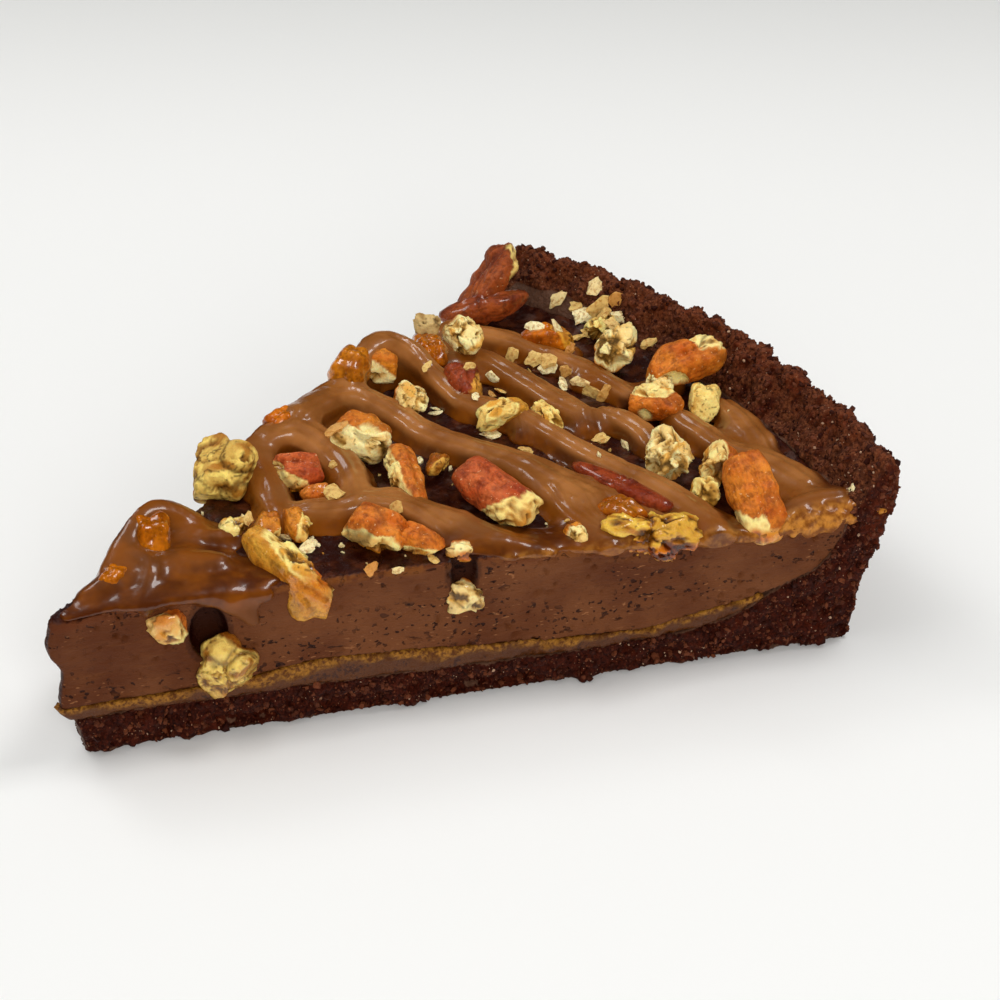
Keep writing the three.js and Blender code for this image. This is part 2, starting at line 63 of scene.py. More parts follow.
# Light: wide soft lamps high behind the left side and low in front, neither mirrored in the wet
# caramel, and two small lamps that give it its streaks.
lamps = {
    "lamp_overhead": {"place": (-0.25, 0.30, 0.75), "size": 0.70, "watts": 2.4, "mirrored": False},
    "lamp_front": {"place": (-0.35, -0.75, 0.42), "size": 0.42, "watts": 4.2, "mirrored": False},
    "lamp_window": {"place": (0.35, -0.10, 0.70), "size": 0.22, "watts": 1.8, "mirrored": True},
    "lamp_back": {"place": (-0.10, 0.55, 0.55), "size": 0.20, "watts": 0.7, "mirrored": True},
}
for lamp_name, lamp in lamps.items():
    lamp_data = bpy.data.lights.new(lamp_name, 'AREA')
    lamp_data.size = lamp["size"]
    lamp_data.energy = lamp["watts"]
    lamp_object = bpy.data.objects.new(lamp_name, lamp_data)
    lamp_object.location = lamp["place"]
    lamp_object.visible_glossy = lamp["mirrored"]
    lamp_object.rotation_euler = (-Vector(lamp["place"])).to_track_quat('-Z', 'Y').to_euler()
    scene.collection.objects.link(lamp_object)

sky_strength = 0.30
sky = bpy.data.worlds.new("pale_room")
sky.use_nodes = True
sky.node_tree.nodes["Background"].inputs["Color"].default_value = (1.0, 0.99, 0.97, 1)
sky.node_tree.nodes["Background"].inputs["Strength"].default_value = sky_strength
sky.cycles_visibility.glossy = False
scene.world = sky


# Table: a matt off-white board whose colour greys towards the back of the room as painted shade,
# where the light falls off. It only carries the slice and isn't part of it.
class Amount:
    """A value that varies over a surface, to be used in sums: the output socket of one node."""

    def __init__(self, finish, socket):
        self.finish = finish
        self.socket = socket

    def _sum(self, operation, first, second):
        return self.finish.add("Math", {"operation": operation}, {0: first, 1: second})

    def __add__(self, other):
        return self._sum('ADD', self, other)

    def __sub__(self, other):
        return self._sum('SUBTRACT', self, other)

    def __rsub__(self, other):
        return self._sum('SUBTRACT', other, self)

    def __mul__(self, other):
        return self._sum('MULTIPLY', self, other)

    __radd__ = __add__
    __rmul__ = __mul__

    def within(self, low, high):
        """0 up to low, 1 from high, and a soft rise between."""
        return self.finish.add(
            "MapRange",
            {"interpolation_type": 'SMOOTHSTEP'},
            {"Value": self, "From Min": low, "From Max": high},
        )


def tint(red, green, blue):
    """A colour as seen, 0 to 255 a channel, as the light that it gives back."""
    return tuple((channel / 255) ** 2.2 for channel in (red, green, blue)) + (1,)


class Finish:
    """One material while it is put together. Lengths in it are millimetres on the slice."""

    def __init__(self, name):
        self.material = bpy.data.materials.new(name)
        self.material.use_nodes = True
        self.tree = self.material.node_tree
        self.tree.nodes.clear()

    def add(self, kind, settings, sockets, output=0):
        node = self.tree.nodes.new("ShaderNode" + kind)
        for key, value in settings.items():
            setattr(node, key, value)
        for key, value in sockets.items():
            if isinstance(value, Amount):
                self.tree.links.new(value.socket, node.inputs[key])
            else:
                node.inputs[key].default_value = value
        return Amount(self, node.outputs[output]) if node.outputs else None

    def place(self, width, stretch=(1, 1, 1), shift=0.0):
        """Where a point lies on the piece, counted in patches of the given width."""
        place = self.add("TexCoord", {}, {}, output="Object")
        scale = tuple(1000 / (width * share) for share in stretch)
        return self.add("VectorMath", {"operation": 'MULTIPLY_ADD'}, {0: place, 1: scale, 2: (shift,) * 3})

    def spots(self, width, detail=2.0, roughness=0.55, stretch=(1, 1, 1), shift=0.0):
        """Soft cloudy noise from 0 to 1 with patches about as wide as width."""
        sockets = {"Vector": self.place(width, stretch, shift), "Scale": 1.0}
        return self.add("TexNoise", {}, {**sockets, "Detail": detail, "Roughness": roughness})

    def cells(self, width):
        """Distance from the middle of the nearest of many small cells."""
        return self.add("TexVoronoi", {}, {"Vector": self.place(width), "Scale": 1.0})

    def measure(self, name):
        """A number that the piece's own points carry."""
        return self.add("Attribute", {"attribute_name": name}, {}, output="Fac")

    def blend(self, first, second, share, way='MIX'):
        """Two colours mixed. A plain one is given as seen: red, green and blue from 0 to 255."""
        first, second = [tint(*each) if isinstance(each, tuple) else each for each in (first, second)]
        settings = {"data_type": 'RGBA', "blend_type": way}
        return self.add("Mix", settings, {0: share, 6: first, 7: second}, output=2)

    def coats(self, colour, *coats):
        """A colour with others over it, each given with its share."""
        for coat, share in coats:
            colour = self.blend(colour, coat, share)
        return colour

    def bump(self, height, depth):
        """Fine relief: height 0 to 1 stands for depth in millimetres."""
        return self.add("Bump", {}, {"Height": height, "Strength": 1.0, "Distance": depth / 1000})

    def done(self, **sockets):
        sockets = {key.replace("_", " "): value for key, value in sockets.items()}
        shader = self.add("BsdfPrincipled", {}, sockets)
        self.add("OutputMaterial", {}, {"Surface": shader})
        return self.material


table_size = 6.0
table_drop = 0.0001
sight_line = Vector((0.592, 0.806, 0.0))
shade_from = 0.14
shade_to = 0.52

table = bmesh.new()
bmesh.ops.create_grid(table, x_segments=1, y_segments=1, size=table_size / 2)
bmesh.ops.translate(table, verts=table.verts, vec=(0, 0, -table_drop))
table_mesh = bpy.data.meshes.new("table_top")
table.to_mesh(table_mesh)
table_object = bpy.data.objects.new("table_top", table_mesh)
scene.collection.objects.link(table_object)

board = Finish("off_white_board")
board_place = board.add("TexCoord", {}, {}, output="Object")
board_depth = board.add(
    "VectorMath", {"operation": 'DOT_PRODUCT'}, {0: board_place, 1: sight_line}, output="Value"
)
# Painted shade: the board's colour greys with distance along the line of sight.
board_colour = board.blend((241, 241, 239), (172, 173, 170), board_depth.within(shade_from, shade_to))
table_mesh.materials.append(board.done(Base_Color=board_colour, Roughness=0.75, Specular_IOR_Level=0.2))


# Crust: one baked piece of dark cocoa crumb, pressed into a tin as a flat base that turns up into
# the rim. Knife cuts and handling left it ragged, with single grains standing out.
slice_angle = math.radians(44)
tip_half_width = 1.1
tip_fade = 7
slice_middle = Vector((62, 0.4, 0))

crust_outside = [
    (2.4, 0), (12, 0), (24, 0), (36, 0), (48, 0), (60, 0), (72, 0), (85, 0), (99, 0), (110, 0),
    (118.8, 0), (120.3, 7), (122, 13), (123.8, 19), (125.4, 24.5), (125, 29.4),
]
crust_inside = [
    (0.9, 6.4), (12, 6.2), (24, 6), (36, 6.1), (48, 5.8), (60, 5.4), (72, 5.2), (85, 5.3), (98, 6.6),
    (105.4, 10.0), (112.4, 13.4), (115.6, 16.6), (117.2, 19.6), (118.3, 22.8), (120.4, 26), (123.2, 29.6),
]
crust_cuts = (59, 44, 5)
crust_voxel = 0.5
heave_depth = 0.8
heave_width = 5.0
small_heave_width = 2.1
clod_depth = 1.0
clod_width = 3.1
crest_clod_depth = 0.6
crest_clod_width = 2.3
crest_rise = 0.9
under_edge = 0.7
crumb_depth = 0.5
crumb_width = 1.25
cut_crumb_depth = 0.35
cut_crumb_width = 1.9
break_depth = 0.8
break_width = 2.4
cut_facings = (0.4, 0.7)
wall_radius = 123
ground_height = 0.6
film_height = 22.9
film_rise = 2.9
film_wave = 0.5
crest_heights = (25, 28)
rise_heights = (27, 29.5)
baked_radii = (119, 124.5)


def place_in_slice(radius, across, height):
    """A place in the slice: across runs from the near cut at -1 to the far cut at +1."""
    angle = across * slice_angle / 2
    blunt = across * tip_half_width * math.exp(-max(radius, 0) / tip_fade)
    return Vector((radius * math.cos(angle), radius * math.sin(angle) + blunt, height))


def across_at(points):
    return np.arctan2(points[..., 1], np.maximum(points[..., 0], 1)) / (slice_angle / 2)


def cut_facing(points, normals):
    """How squarely a surface faces out of the nearer of the two cuts."""
    side = np.where(points[:, 1] > 0, 1, -1)
    angle = slice_angle / 2
    return side * (-math.sin(angle) * side * normals[:, 0] + math.cos(angle) * normals[:, 1])


def soft_step(value, low, high):
    share = np.clip((value - low) / (high - low), 0, 1)
    return share * share * (3 - 2 * share)


def lattice_numbers(corners, salt):
    """A fixed number from 0 to 1 for each whole-number place, the same in every run."""
    mixed = corners[..., 0] * 73856093 ^ corners[..., 1] * 19349663
    mixed = mixed ^ corners[..., 2] * 83492791 ^ salt * 2654435
    mixed = (mixed ^ (mixed >> 13)) * 1274126177 & 0xFFFFFFFF
    mixed = (mixed ^ (mixed >> 15)) * 2246822519 & 0xFFFFFFFF
    return (mixed ^ (mixed >> 16)) / 0xFFFFFFFF


def cloud(points, size, salt=0):
    """Smooth uneven relief, about -1 to 1, with swells as wide as size."""
    scaled = points / np.array(size)
    whole = np.floor(scaled).astype(np.int64)
    part = scaled - whole
    ease = part * part * part * (part * (part * 6 - 15) + 10)
    total = np.zeros(len(points))
    for corner in np.ndindex(2, 2, 2):
        offset = part - np.array(corner)
        weight = np.prod(np.where(np.array(corner) == 1, ease, 1 - ease), axis=1)
        slope = 0
        for axis in range(3):
            slope = slope + (lattice_numbers(whole + np.array(corner), salt + axis) * 2 - 1) * offset[:, axis]
        total += weight * slope
    return total * 1.5


def nearest_cells(points, size, salt):
    """The nearest of scattered cells: how far off its middle is, which way, and which cell it is."""
    scaled = points / np.array(size)
    whole = np.floor(scaled).astype(np.int64)
    nearest = np.full(len(points), 9.0)
    offset, own = scaled, whole
    for step in np.ndindex(3, 3, 3):
        cell = whole + np.array(step) - 1
        middle = np.stack([cell[:, axis] + lattice_numbers(cell, salt + axis) for axis in range(3)], axis=1)
        apart = np.sum((middle - scaled) ** 2, axis=1)
        closer = (apart < nearest)[:, None]
        nearest = np.minimum(nearest, apart)
        offset = np.where(closer, scaled - middle, offset)
        own = np.where(closer, cell, own)
    return np.sqrt(nearest), offset, own


def lumps(points, size, salt=0):
    """Rounded grains pressed together: 1 on top of a grain, 0 in the cracks."""
    return 1 - np.minimum(1, nearest_cells(points, size, salt)[0] / 0.8) ** 2


def points_and_normals(form):
    form.normal_update()
    points = np.array([vert.co[:] for vert in form.verts])
    return points, np.array([vert.normal[:] for vert in form.verts])


def put_points(form, points, **measures):
    """Moves the form's points, and notes a number for each point under each given name."""
    layers = {name: form.verts.layers.float.new(name) for name in measures}
    for index, vert in enumerate(form.verts):
        vert.co = points[index]
        for name, layer in layers.items():
            vert[layer] = measures[name][index]


def on_line(line, share):
    """A point on the smooth curve through the points of a section line or a strand."""
    station = share * (len(line) - 1)
    index = min(int(station), len(line) - 2)
    part = station - index
    before, first = Vector(line[max(index - 1, 0)]), Vector(line[index])
    second, after = Vector(line[index + 1]), Vector(line[min(index + 2, len(line) - 1)])
    start, end = (second - before) / 2, (after - first) / 2
    return (
        (2 * first - 2 * second + start + end) * part ** 3
        + (3 * second - 3 * first - 2 * start - end) * part ** 2
        + start * part
        + first
    )


def layer_form(lower, upper, cuts):
    """A block, cut up evenly and bent to the slice, with one side on each of two section lines."""
    form = bmesh.new()
    bmesh.ops.create_cube(form, size=1)
    for axis, count in enumerate(cuts):
        edges = [edge for edge in form.edges if abs(edge.verts[0].co[axis] - edge.verts[1].co[axis]) > 0.5]
        bmesh.ops.subdivide_edges(form, edges=edges, cuts=count, use_grid_fill=True)
    for vert in form.verts:
        share = vert.co.x + 0.5
        section = on_line(lower, share).lerp(on_line(upper, share), vert.co.z + 0.5)
        vert.co = place_in_slice(section.x, vert.co.y * 2, max(0, section.y))
    return form


def even_skin(form, voxel, hollows=()):
    """The form with a new skin of small even squares, and hollows taken out of it first."""
    used = []
    for part in [form] + list(hollows):
        mesh = bpy.data.meshes.new("working")
        part.to_mesh(mesh)
        used.append(bpy.data.objects.new("working", mesh))
        scene.collection.objects.link(used[-1])
    for cutter in used[1:]:
        cut = used[0].modifiers.new("cut", 'BOOLEAN')
        cut.operation = 'DIFFERENCE'
        cut.solver = 'EXACT'
        cut.object = cutter
    even = used[0].modifiers.new("even", 'REMESH')
    even.mode = 'VOXEL'
    even.voxel_size = voxel
    result = used[0].evaluated_get(bpy.context.evaluated_depsgraph_get())
    form.clear()
    form.from_mesh(result.to_mesh())
    for piece in used:
        mesh = piece.data
        bpy.data.objects.remove(piece)
        bpy.data.meshes.remove(mesh)
    return form


def relax(form, times, factor):
    """Evens out a form a little, as often as times."""
    axes = {"use_axis_x": True, "use_axis_y": True, "use_axis_z": True}
    for _ in range(times):
        bmesh.ops.smooth_vert(form, verts=form.verts, factor=factor, **axes)


def place_piece(name, mesh, material, nodes):
    """A mesh in metres as one piece of the scene, in the place of the given nodes."""
    mesh.materials.append(material)
    piece = bpy.data.objects.new(name, mesh)
    scene.collection.objects.link(piece)
    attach(piece, "root")
    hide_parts(*nodes)


def finished_piece(name, form, material, nodes):
    """Puts a form, still in millimetres round the tart's axis, into the scene as one piece."""
    bmesh.ops.translate(form, verts=form.verts, vec=-slice_middle)
    bmesh.ops.scale(form, verts=form.verts, vec=(0.001, 0.001, 0.001))
    for face in form.faces:
        face.smooth = True
    mesh = bpy.data.meshes.new(name)
    form.to_mesh(mesh)
    form.free()
    place_piece(name, mesh, material, nodes)


def film_top(points):
    """How high the smooth smear of filling reaches up the inner wall."""
    across = across_at(points)
    rear = soft_step(across, 0.3, 0.55) * (1 - soft_step(across, 0.95, 1.0))
    return film_height + film_rise * rear + film_wave * cloud(points, (5, 5, 50))


def crumb_zones(points, normals):
    """How far each point lies on a cut, and whether it is loose crumb rather than under the smear."""
    radius = np.hypot(points[:, 0], points[:, 1])
    on_cut = soft_step(cut_facing(points, normals), *cut_facings)
    on_inside = (1 - on_cut) * (radius < wall_radius) * (normals[:, 2] > -0.3)
    sunk = on_inside * (1 - soft_step(points[:, 2] - film_top(points), -0.5, 0.4))
    on_ground = (points[:, 2] < ground_height) * (normals[:, 2] < -0.6)
    return on_cut, (1 - sunk) * (1 - on_ground)


crust = even_skin(layer_form(crust_outside, crust_inside, crust_cuts), crust_voxel)
points, normals = points_and_normals(crust)
on_cut, loose = crumb_zones(points, normals)
height = points[:, 2]
clods = lumps(points, clod_width, salt=2) - 0.5
heave = heave_depth * (cloud(points, heave_width) + 0.5 * cloud(points, small_heave_width))
relief = heave + clod_depth * clods * (1 - 0.3 * on_cut)
crest_clods = lumps(points, crest_clod_width, salt=14) - 0.45
relief += crest_clod_depth * soft_step(height, *crest_heights) * crest_clods
flat_places = points * np.array((1, 1, 0.3))
ragged = 0.9 * cloud(flat_places, 6.5, salt=31) + 0.7 * cloud(flat_places, 2.8, salt=32)
worn = on_cut * np.maximum(under_edge - 3.0 * ragged, -0.5) * (1 - soft_step(height, 0.6, 4.4))
points += normals * (loose * relief - worn)[:, None]
points[:, 2] += crest_rise * soft_step(height, *rise_heights)
points[:, 2] = np.maximum(0, points[:, 2])
put_points(crust, points)
crust = even_skin(crust, crust_voxel)

points, normals = points_and_normals(crust)
on_cut, loose = crumb_zones(points, normals)
radius = np.hypot(points[:, 0], points[:, 1])
height = points[:, 2]
relief = crumb_depth * (1 + 0.9 * on_cut) * (lumps(points, crumb_width) - 0.55) + 0.2 * cloud(points, 0.7)
relief += cut_crumb_depth * on_cut * (lumps(points, cut_crumb_width, salt=7) - 0.5)
relief -= break_depth * soft_step(cloud(points, break_width, salt=9), 0.3, 0.6) * (0.3 + 0.7 * on_cut)
points += normals * (loose * relief)[:, None]
points[:, 2] = np.maximum(0, points[:, 2])
baked = soft_step(radius, *baked_radii) * soft_step(height, 1, 4)
put_points(crust, points, crumbly=loose, baked=baked, moist=np.maximum(on_cut, 1 - soft_step(height, 5, 9)))
relax(crust, 1, 0.1)

crumb = Finish("cocoa_crumb")
fine = crumb.spots(0.5, detail=3, roughness=0.7)
patch = crumb.spots(4.5, detail=2)
cells = crumb.cells(0.75)
# Pale specks: pale crumbs whose bright colour also paints the glints of tiny highlights.
speck = crumb.spots(0.42, detail=1, shift=31.0).within(0.72, 0.78)
crumbly = crumb.measure("crumbly")
dry = crumb.blend((66, 31, 17), (124, 73, 45), fine.within(0.3, 0.75))
moist = crumb.blend((36, 10, 4), (78, 33, 19), fine.within(0.3, 0.75))
colour = crumb.coats(
    dry,
    (moist, crumb.measure("moist")),
    ((92, 36, 18), patch.within(0.45, 0.8) * 0.4),
    ((128, 56, 26), crumb.measure("baked") * patch * 0.5),
    # Painted shade in the cracks between crumb grains, where the bump sinks.
    ((40, 14, 7), cells.within(0.45, 0.8) * 0.5),
    ((186, 142, 110), speck * crumbly * 0.6),
)
smear = crumb.blend((72, 44, 32), (112, 80, 62), crumb.spots(3.0))
crumb_material = crumb.done(
    Base_Color=crumb.blend(smear, colour, crumbly.within(0.3, 0.7)),
    Roughness=1 - 0.45 * (1 - crumbly) - 0.12 * fine,
    Specular_IOR_Level=0.3,
    Normal=crumb.bump(fine + (1 - cells) * 0.7, 0.3),
)

grain_count = 8500
grain_kinds = 6
grain_seed = 11
smallest_grain = 0.3
grain_range = 0.9
grain_lift = 0.05
# Pale grains: pale crumbs whose bright colour also paints the glints of tiny highlights.
pale_share = 0.07
pale_size = 0.5


def as_arrays(form):
    """The points and the triangles of a form, which is used up."""
    points = np.array([vert.co for vert in form.verts])
    faces = np.array([[vert.index for vert in face.verts] for face in form.faces])
    form.free()
    return points, faces


def joined_mesh(name, parts):
    """One mesh of many parts, each given by its points and its triangles."""
    sizes = [len(points) for points, _ in parts]
    points = np.concatenate([points for points, _ in parts])
    faces = np.concatenate([faces + first for (_, faces), first in zip(parts, np.cumsum([0] + sizes))])
    mesh = bpy.data.meshes.new(name)
    mesh.from_pydata(points.tolist(), [], faces.tolist())
    return mesh


def grain_shapes(kinds, seed, flatness=1.0, subdivisions=1, uneven=0.35):
    """A few small broken shapes, each one wide, as arrays of points and faces."""
    draw = random.Random(seed)
    shapes = []
    for _ in range(kinds):
        shape = bmesh.new()
        bmesh.ops.create_icosphere(shape, subdivisions=subdivisions, radius=0.5)
        for vert in shape.verts:
            vert.co *= 1 + uneven * (draw.random() * 2 - 1)
            vert.co.z *= flatness
        shapes.append(as_arrays(shape))
    return shapes


def joined_shapes(name, shapes, settings, material, nodes):
    """Many small shapes as one piece. Each setting is (place, turn, size, kind, tone)."""
    parts, tones = [], []
    for place, turn, size, kind, tone in settings:
        points, faces = shapes[kind]
        turned = (points * np.array(size)) @ np.array(turn.to_matrix()).T
        parts.append(((turned + np.array(place - slice_middle)) * 0.001, faces))
        tones.extend([tone] * len(points))
    mesh = joined_mesh(name, parts)
    mesh.attributes.new("tone", 'FLOAT', 'POINT').data.foreach_set("value", tones)
    mesh.polygons.foreach_set("use_smooth", [False] * len(mesh.polygons))
    place_piece(name, mesh, material, nodes)


def random_turn(draw):
    return Euler((draw.uniform(0, 6.3), draw.uniform(0, 6.3), draw.uniform(0, 6.3)))


draw = random.Random(grain_seed)
crumbly_layer = crust.verts.layers.float["crumbly"]
loose_faces = [face for face in crust.faces if min(vert[crumbly_layer] for vert in face.verts) > 0.6]
grains = []
for face in draw.choices(loose_faces, k=grain_count):
    width = smallest_grain + grain_range * draw.random() ** 4
    place = face.calc_center_median() + face.normal * (grain_lift * width)
    place.z = max(place.z, 0.55 * width)
    pale = draw.random() < pale_share
    tone = draw.uniform(0.82, 1.0) if pale else 0.7 * draw.random()
    if pale:
        width *= pale_size
    size = (width * draw.uniform(0.8, 1.3), width, width * draw.uniform(0.6, 1.0))
    grains.append((place, random_turn(draw), size, draw.randrange(grain_kinds), tone))

grain = Finish("cocoa_grains")
tone = grain.measure("tone")
fine = grain.spots(0.35, detail=2)
colour = grain.coats(
    (52, 20, 11),
    ((108, 58, 36), tone.within(0.0, 0.7)),
    ((36, 14, 9), fine.within(0.45, 0.7) * 0.5),
    # The pale grains, their colour partly painted glints.
    ((182, 146, 118), tone.within(0.78, 0.9)),
)
grain_material = grain.done(
    Base_Color=colour, Roughness=0.85, Specular_IOR_Level=0.35, Normal=grain.bump(fine, 0.12)
)
grain_forms = grain_shapes(grain_kinds, grain_seed)
joined_shapes("crust_grains", grain_forms, grains, grain_material, ["crust"])
crust_tree = BVHTree.FromBMesh(crust)
finished_piece("crust_baked", crust, crumb_material, ["crust"])


# Caramel sheet: a thin golden layer poured on the crumb before the filling. The knife dragged it
# into an uneven line, with a granular golden top over a smooth olive-brown lower part.
caramel_upper = [
    (-0.9, 8.7), (12, 8.4), (24, 8.7), (35.8, 10.2), (46, 10), (59.8, 8.8), (72, 7.8), (85, 7.4),
    (96.8, 9.1), (104.6, 10.6),
]
sheet_cuts = (39, 29, 2)
sheet_voxel = 0.48
seam = 0.06
tip_pull = 0.9
tip_reach = 1.8
line_wave = 0.8


def moved_off(line, distance):
    """A section line moved off itself, to the side that faces the middle of the tart."""
    moved = []
    for index, point in enumerate(line):
        before = line[max(index - 1, 0)]
        after = line[min(index + 1, len(line) - 1)]
        run = Vector((after[0] - before[0], after[1] - before[1])).normalized()
        moved.append((point[0] - run.y * distance, point[1] + run.x * distance))
    return moved


def height_on(line, radius):
    """How high a section line runs at each distance from the tart's axis."""
    return np.interp(radius, [point[0] for point in line], [point[1] for point in line])


caramel_lower = moved_off(crust_inside, seam)[:len(caramel_upper)]
sheet = even_skin(layer_form(caramel_lower, caramel_upper, sheet_cuts), sheet_voxel)
points, normals = points_and_normals(sheet)
radius = np.hypot(points[:, 0], points[:, 1])
on_cut = soft_step(cut_facing(points, normals), *cut_facings)
low = height_on(caramel_lower, radius)
share = (points[:, 2] - low) / np.maximum(height_on(caramel_upper, radius) - low, 0.4)
golden = soft_step(share + 0.55 * cloud(points, 3.4), 0.4, 0.7)
rough = 0.5 * cloud(points, 2.4) + golden * (0.6 * (lumps(points, 1.1) - 0.4))
points += normals * (on_cut * (rough + 0.05))[:, None]
points[:, 0] -= tip_pull * np.exp(-(radius / tip_reach) ** 2)
thicker = on_cut * soft_step(radius, 4, 9) * (1 - soft_step(radius, 15, 19)) * soft_step(share, 0.2, 0.5)
points[:, 2] += on_cut * line_wave * cloud(points, (5.5, 5.5, 9), salt=6)
put_points(sheet, points, golden=np.maximum(golden, thicker), thicker=thicker)

layer = Finish("golden_layer")
gold = layer.measure("golden")
fine = layer.spots(0.7, detail=3, roughness=0.65)
patch = layer.spots(5.0, detail=2)
smooth = layer.blend((66, 32, 8), (98, 54, 14), patch)
rich = layer.blend((88, 48, 12), (156, 104, 36), fine.within(0.35, 0.65))
rich_share = 0.35 + patch.within(0.36, 0.56) + layer.measure("thicker")
colour = layer.blend(smooth, rich, gold * rich_share.within(0, 1))
stray = (fine + patch).within(1.08, 1.2) * (1 - gold)
layer_material = layer.done(
    Base_Color=layer.blend(colour, (52, 22, 10), stray * 0.8),
    Roughness=0.42 + 0.25 * gold,
    Specular_IOR_Level=0.4,
    Normal=layer.bump(fine, 0.3),
)
finished_piece("caramel_sheet", sheet, layer_material, ["caramel_layer"])


# Filling: thick set chocolate ganache poured level inside the rim. Its top is dark and glossy, and
# the knife left the cuts matt, paler and pitted with small flat air holes.
ganache_upper = [
    (-1.2, 23.9), (12, 24.6), (24, 24.7), (36, 24.9), (48, 24.8), (60, 24.5), (72, 24), (85, 23.4),
    (96, 22.8), (104, 22.5), (109, 22.4), (113, 22.5), (115.6, 22.8), (117.5, 23.4),
]
ganache_lower = moved_off(caramel_upper, seam)
ganache_lower += moved_off(crust_inside, 2 * seam)[len(caramel_upper):len(ganache_upper)]
ganache_cuts = (51, 35, 9)
ganache_voxel = 0.42
near_fall = 0.5
top_wave = 0.35
point_bulge = 0.9
drag_depth = 0.16
sway_depth = 0.3
pit_depth = 0.7
pit_size = (1.35, 1.35, 0.9)
crowd_width = 11
lip_radii = (22, 30)
hollow_margin = 1.25
cut_hollows = [
    {"place": (19.4, -8.2, 17.8), "radii": (2.8, 3.4, 4.5)},
    {"place": (54.0, -22.6, 22.0), "radii": (2.1, 2.7, 4.2)},
]


def ganache_top_at(points):
    heights = height_on(ganache_upper, np.hypot(points[..., 0], points[..., 1]))
    return heights - near_fall * (1 - across_at(points)) / 2


filling = layer_form(ganache_lower, ganache_upper, ganache_cuts)
points, normals = points_and_normals(filling)
share = soft_step(points[:, 2], 10, ganache_top_at(points))
bulge = point_bulge * np.sin(2 * math.pi * share) * np.exp(-np.maximum(points[:, 0], 0) / tip_fade)
points[:, 2] += share * (top_wave * cloud(points, 14) - near_fall * (1 - across_at(points)) / 2)
points[:, 0] += bulge
put_points(filling, points)
hollow_forms = []
turn = Matrix.Rotation(-slice_angle / 2, 3, 'Z')
for hollow in cut_hollows:
    hollow_form = bmesh.new()
    bmesh.ops.create_icosphere(hollow_form, subdivisions=4, radius=1)
    bmesh.ops.scale(hollow_form, verts=hollow_form.verts, vec=hollow["radii"])
    bmesh.ops.rotate(hollow_form, verts=hollow_form.verts, matrix=turn)
    bmesh.ops.translate(hollow_form, verts=hollow_form.verts, vec=hollow["place"])
    hollow_forms.append(hollow_form)
filling = even_skin(filling, ganache_voxel, hollow_forms)

points, normals = points_and_normals(filling)
on_cut = soft_step(cut_facing(points, normals), 0.45, 0.75)
on_top = (1 - on_cut) * soft_step(normals[:, 2], 0.3, 0.8)
depth = ganache_top_at(points) - points[:, 2]
crowd = soft_step(cloud(points, crowd_width, salt=3), -0.15, 0.35)
pit = soft_step(cloud(points, pit_size), 0.42, 0.62) * crowd
beyond = -points[:, 1] * math.cos(slice_angle / 2) - points[:, 0] * math.sin(slice_angle / 2)
deep = 1 - soft_step(beyond - tip_half_width, -1.6, -0.5)
# Painted shade inside the two hollows in the cut, behind its face.
sunken = np.zeros(len(points))
for hollow in cut_hollows:
    inside = (points - np.array(hollow["place"])) / (np.array(hollow["radii"]) * hollow_margin)
    sunken = np.maximum(sunken, ((inside ** 2).sum(axis=1) < 1) * deep)
drag = cloud(points, (7, 7, 1.6), salt=4)
lip = (1 - soft_step(np.abs(depth - 0.5), 0.2, 1.3)) * soft_step(points[:, 0], *lip_radii)
lip *= soft_step(cloud(points, (4, 4, 20), salt=8), -0.3, 0.2)
lip_rise = lip * (0.25 + 0.3 * cloud(points, 1.2))
move = on_cut * (drag_depth * drag + sway_depth * cloud(points, 9, salt=5) - pit_depth * pit + lip_rise)
move += on_top * (0.25 * cloud(points, 3.2) + 0.12 * cloud(points, 1.1))
points += normals * move[:, None]
near_top = 1 - soft_step(depth, 0.3, 2.2)
put_points(filling, points, knifed=on_cut, near_top=near_top, lip=lip * on_cut, sunken=sunken)

chocolate = Finish("set_ganache")
knifed = chocolate.measure("knifed")
patch = chocolate.spots(14, detail=3)
fine = chocolate.spots(0.9, detail=3, roughness=0.6, stretch=(1.6, 1.6, 0.6))
streaks = chocolate.spots(6, detail=3, roughness=0.7, stretch=(2.0, 2.0, 0.3))
crowd = chocolate.spots(8, detail=2, stretch=(1.4, 1.4, 0.5), shift=5.0).within(0.42, 0.6)
small = chocolate.spots(0.8, detail=1, stretch=(1.1, 1.1, 1.0), shift=17.0).within(0.64, 0.68)
large = chocolate.spots(1.4, detail=1, stretch=(1.3, 1.3, 0.85), shift=29.0).within(0.66, 0.69)
holes = small * (0.1 + 0.9 * crowd) + large * crowd
chips = chocolate.spots(0.8, detail=1, stretch=(1.6, 1.6, 0.5), shift=41.0).within(0.68, 0.71)
film = chocolate.measure("lip") * chocolate.spots(1.6, detail=3).within(0.3, 0.5)
matt = chocolate.coats(
    (84, 43, 20),
    ((110, 65, 37), patch.within(0.3, 0.7)),
    ((122, 74, 40), streaks.within(0.5, 0.8) * 0.25),
    # Painted shade inside the small air holes.
    ((44, 18, 7), holes * 0.9),
    ((158, 104, 66), chips * crowd * 0.6),
    ((92, 44, 18), chocolate.measure("near_top") * streaks.within(0.3, 0.6) * 0.7),
    ((118, 68, 28), film * 0.85),
)
dust = chocolate.spots(4.5, detail=3, shift=11.0).within(0.56, 0.66)
dark = chocolate.coats(
    (44, 14, 5),
    ((82, 40, 20), chocolate.spots(2.6).within(0.4, 0.75)),
    ((92, 68, 60), dust * 0.55),
)
colour = chocolate.blend(dark, matt, knifed)
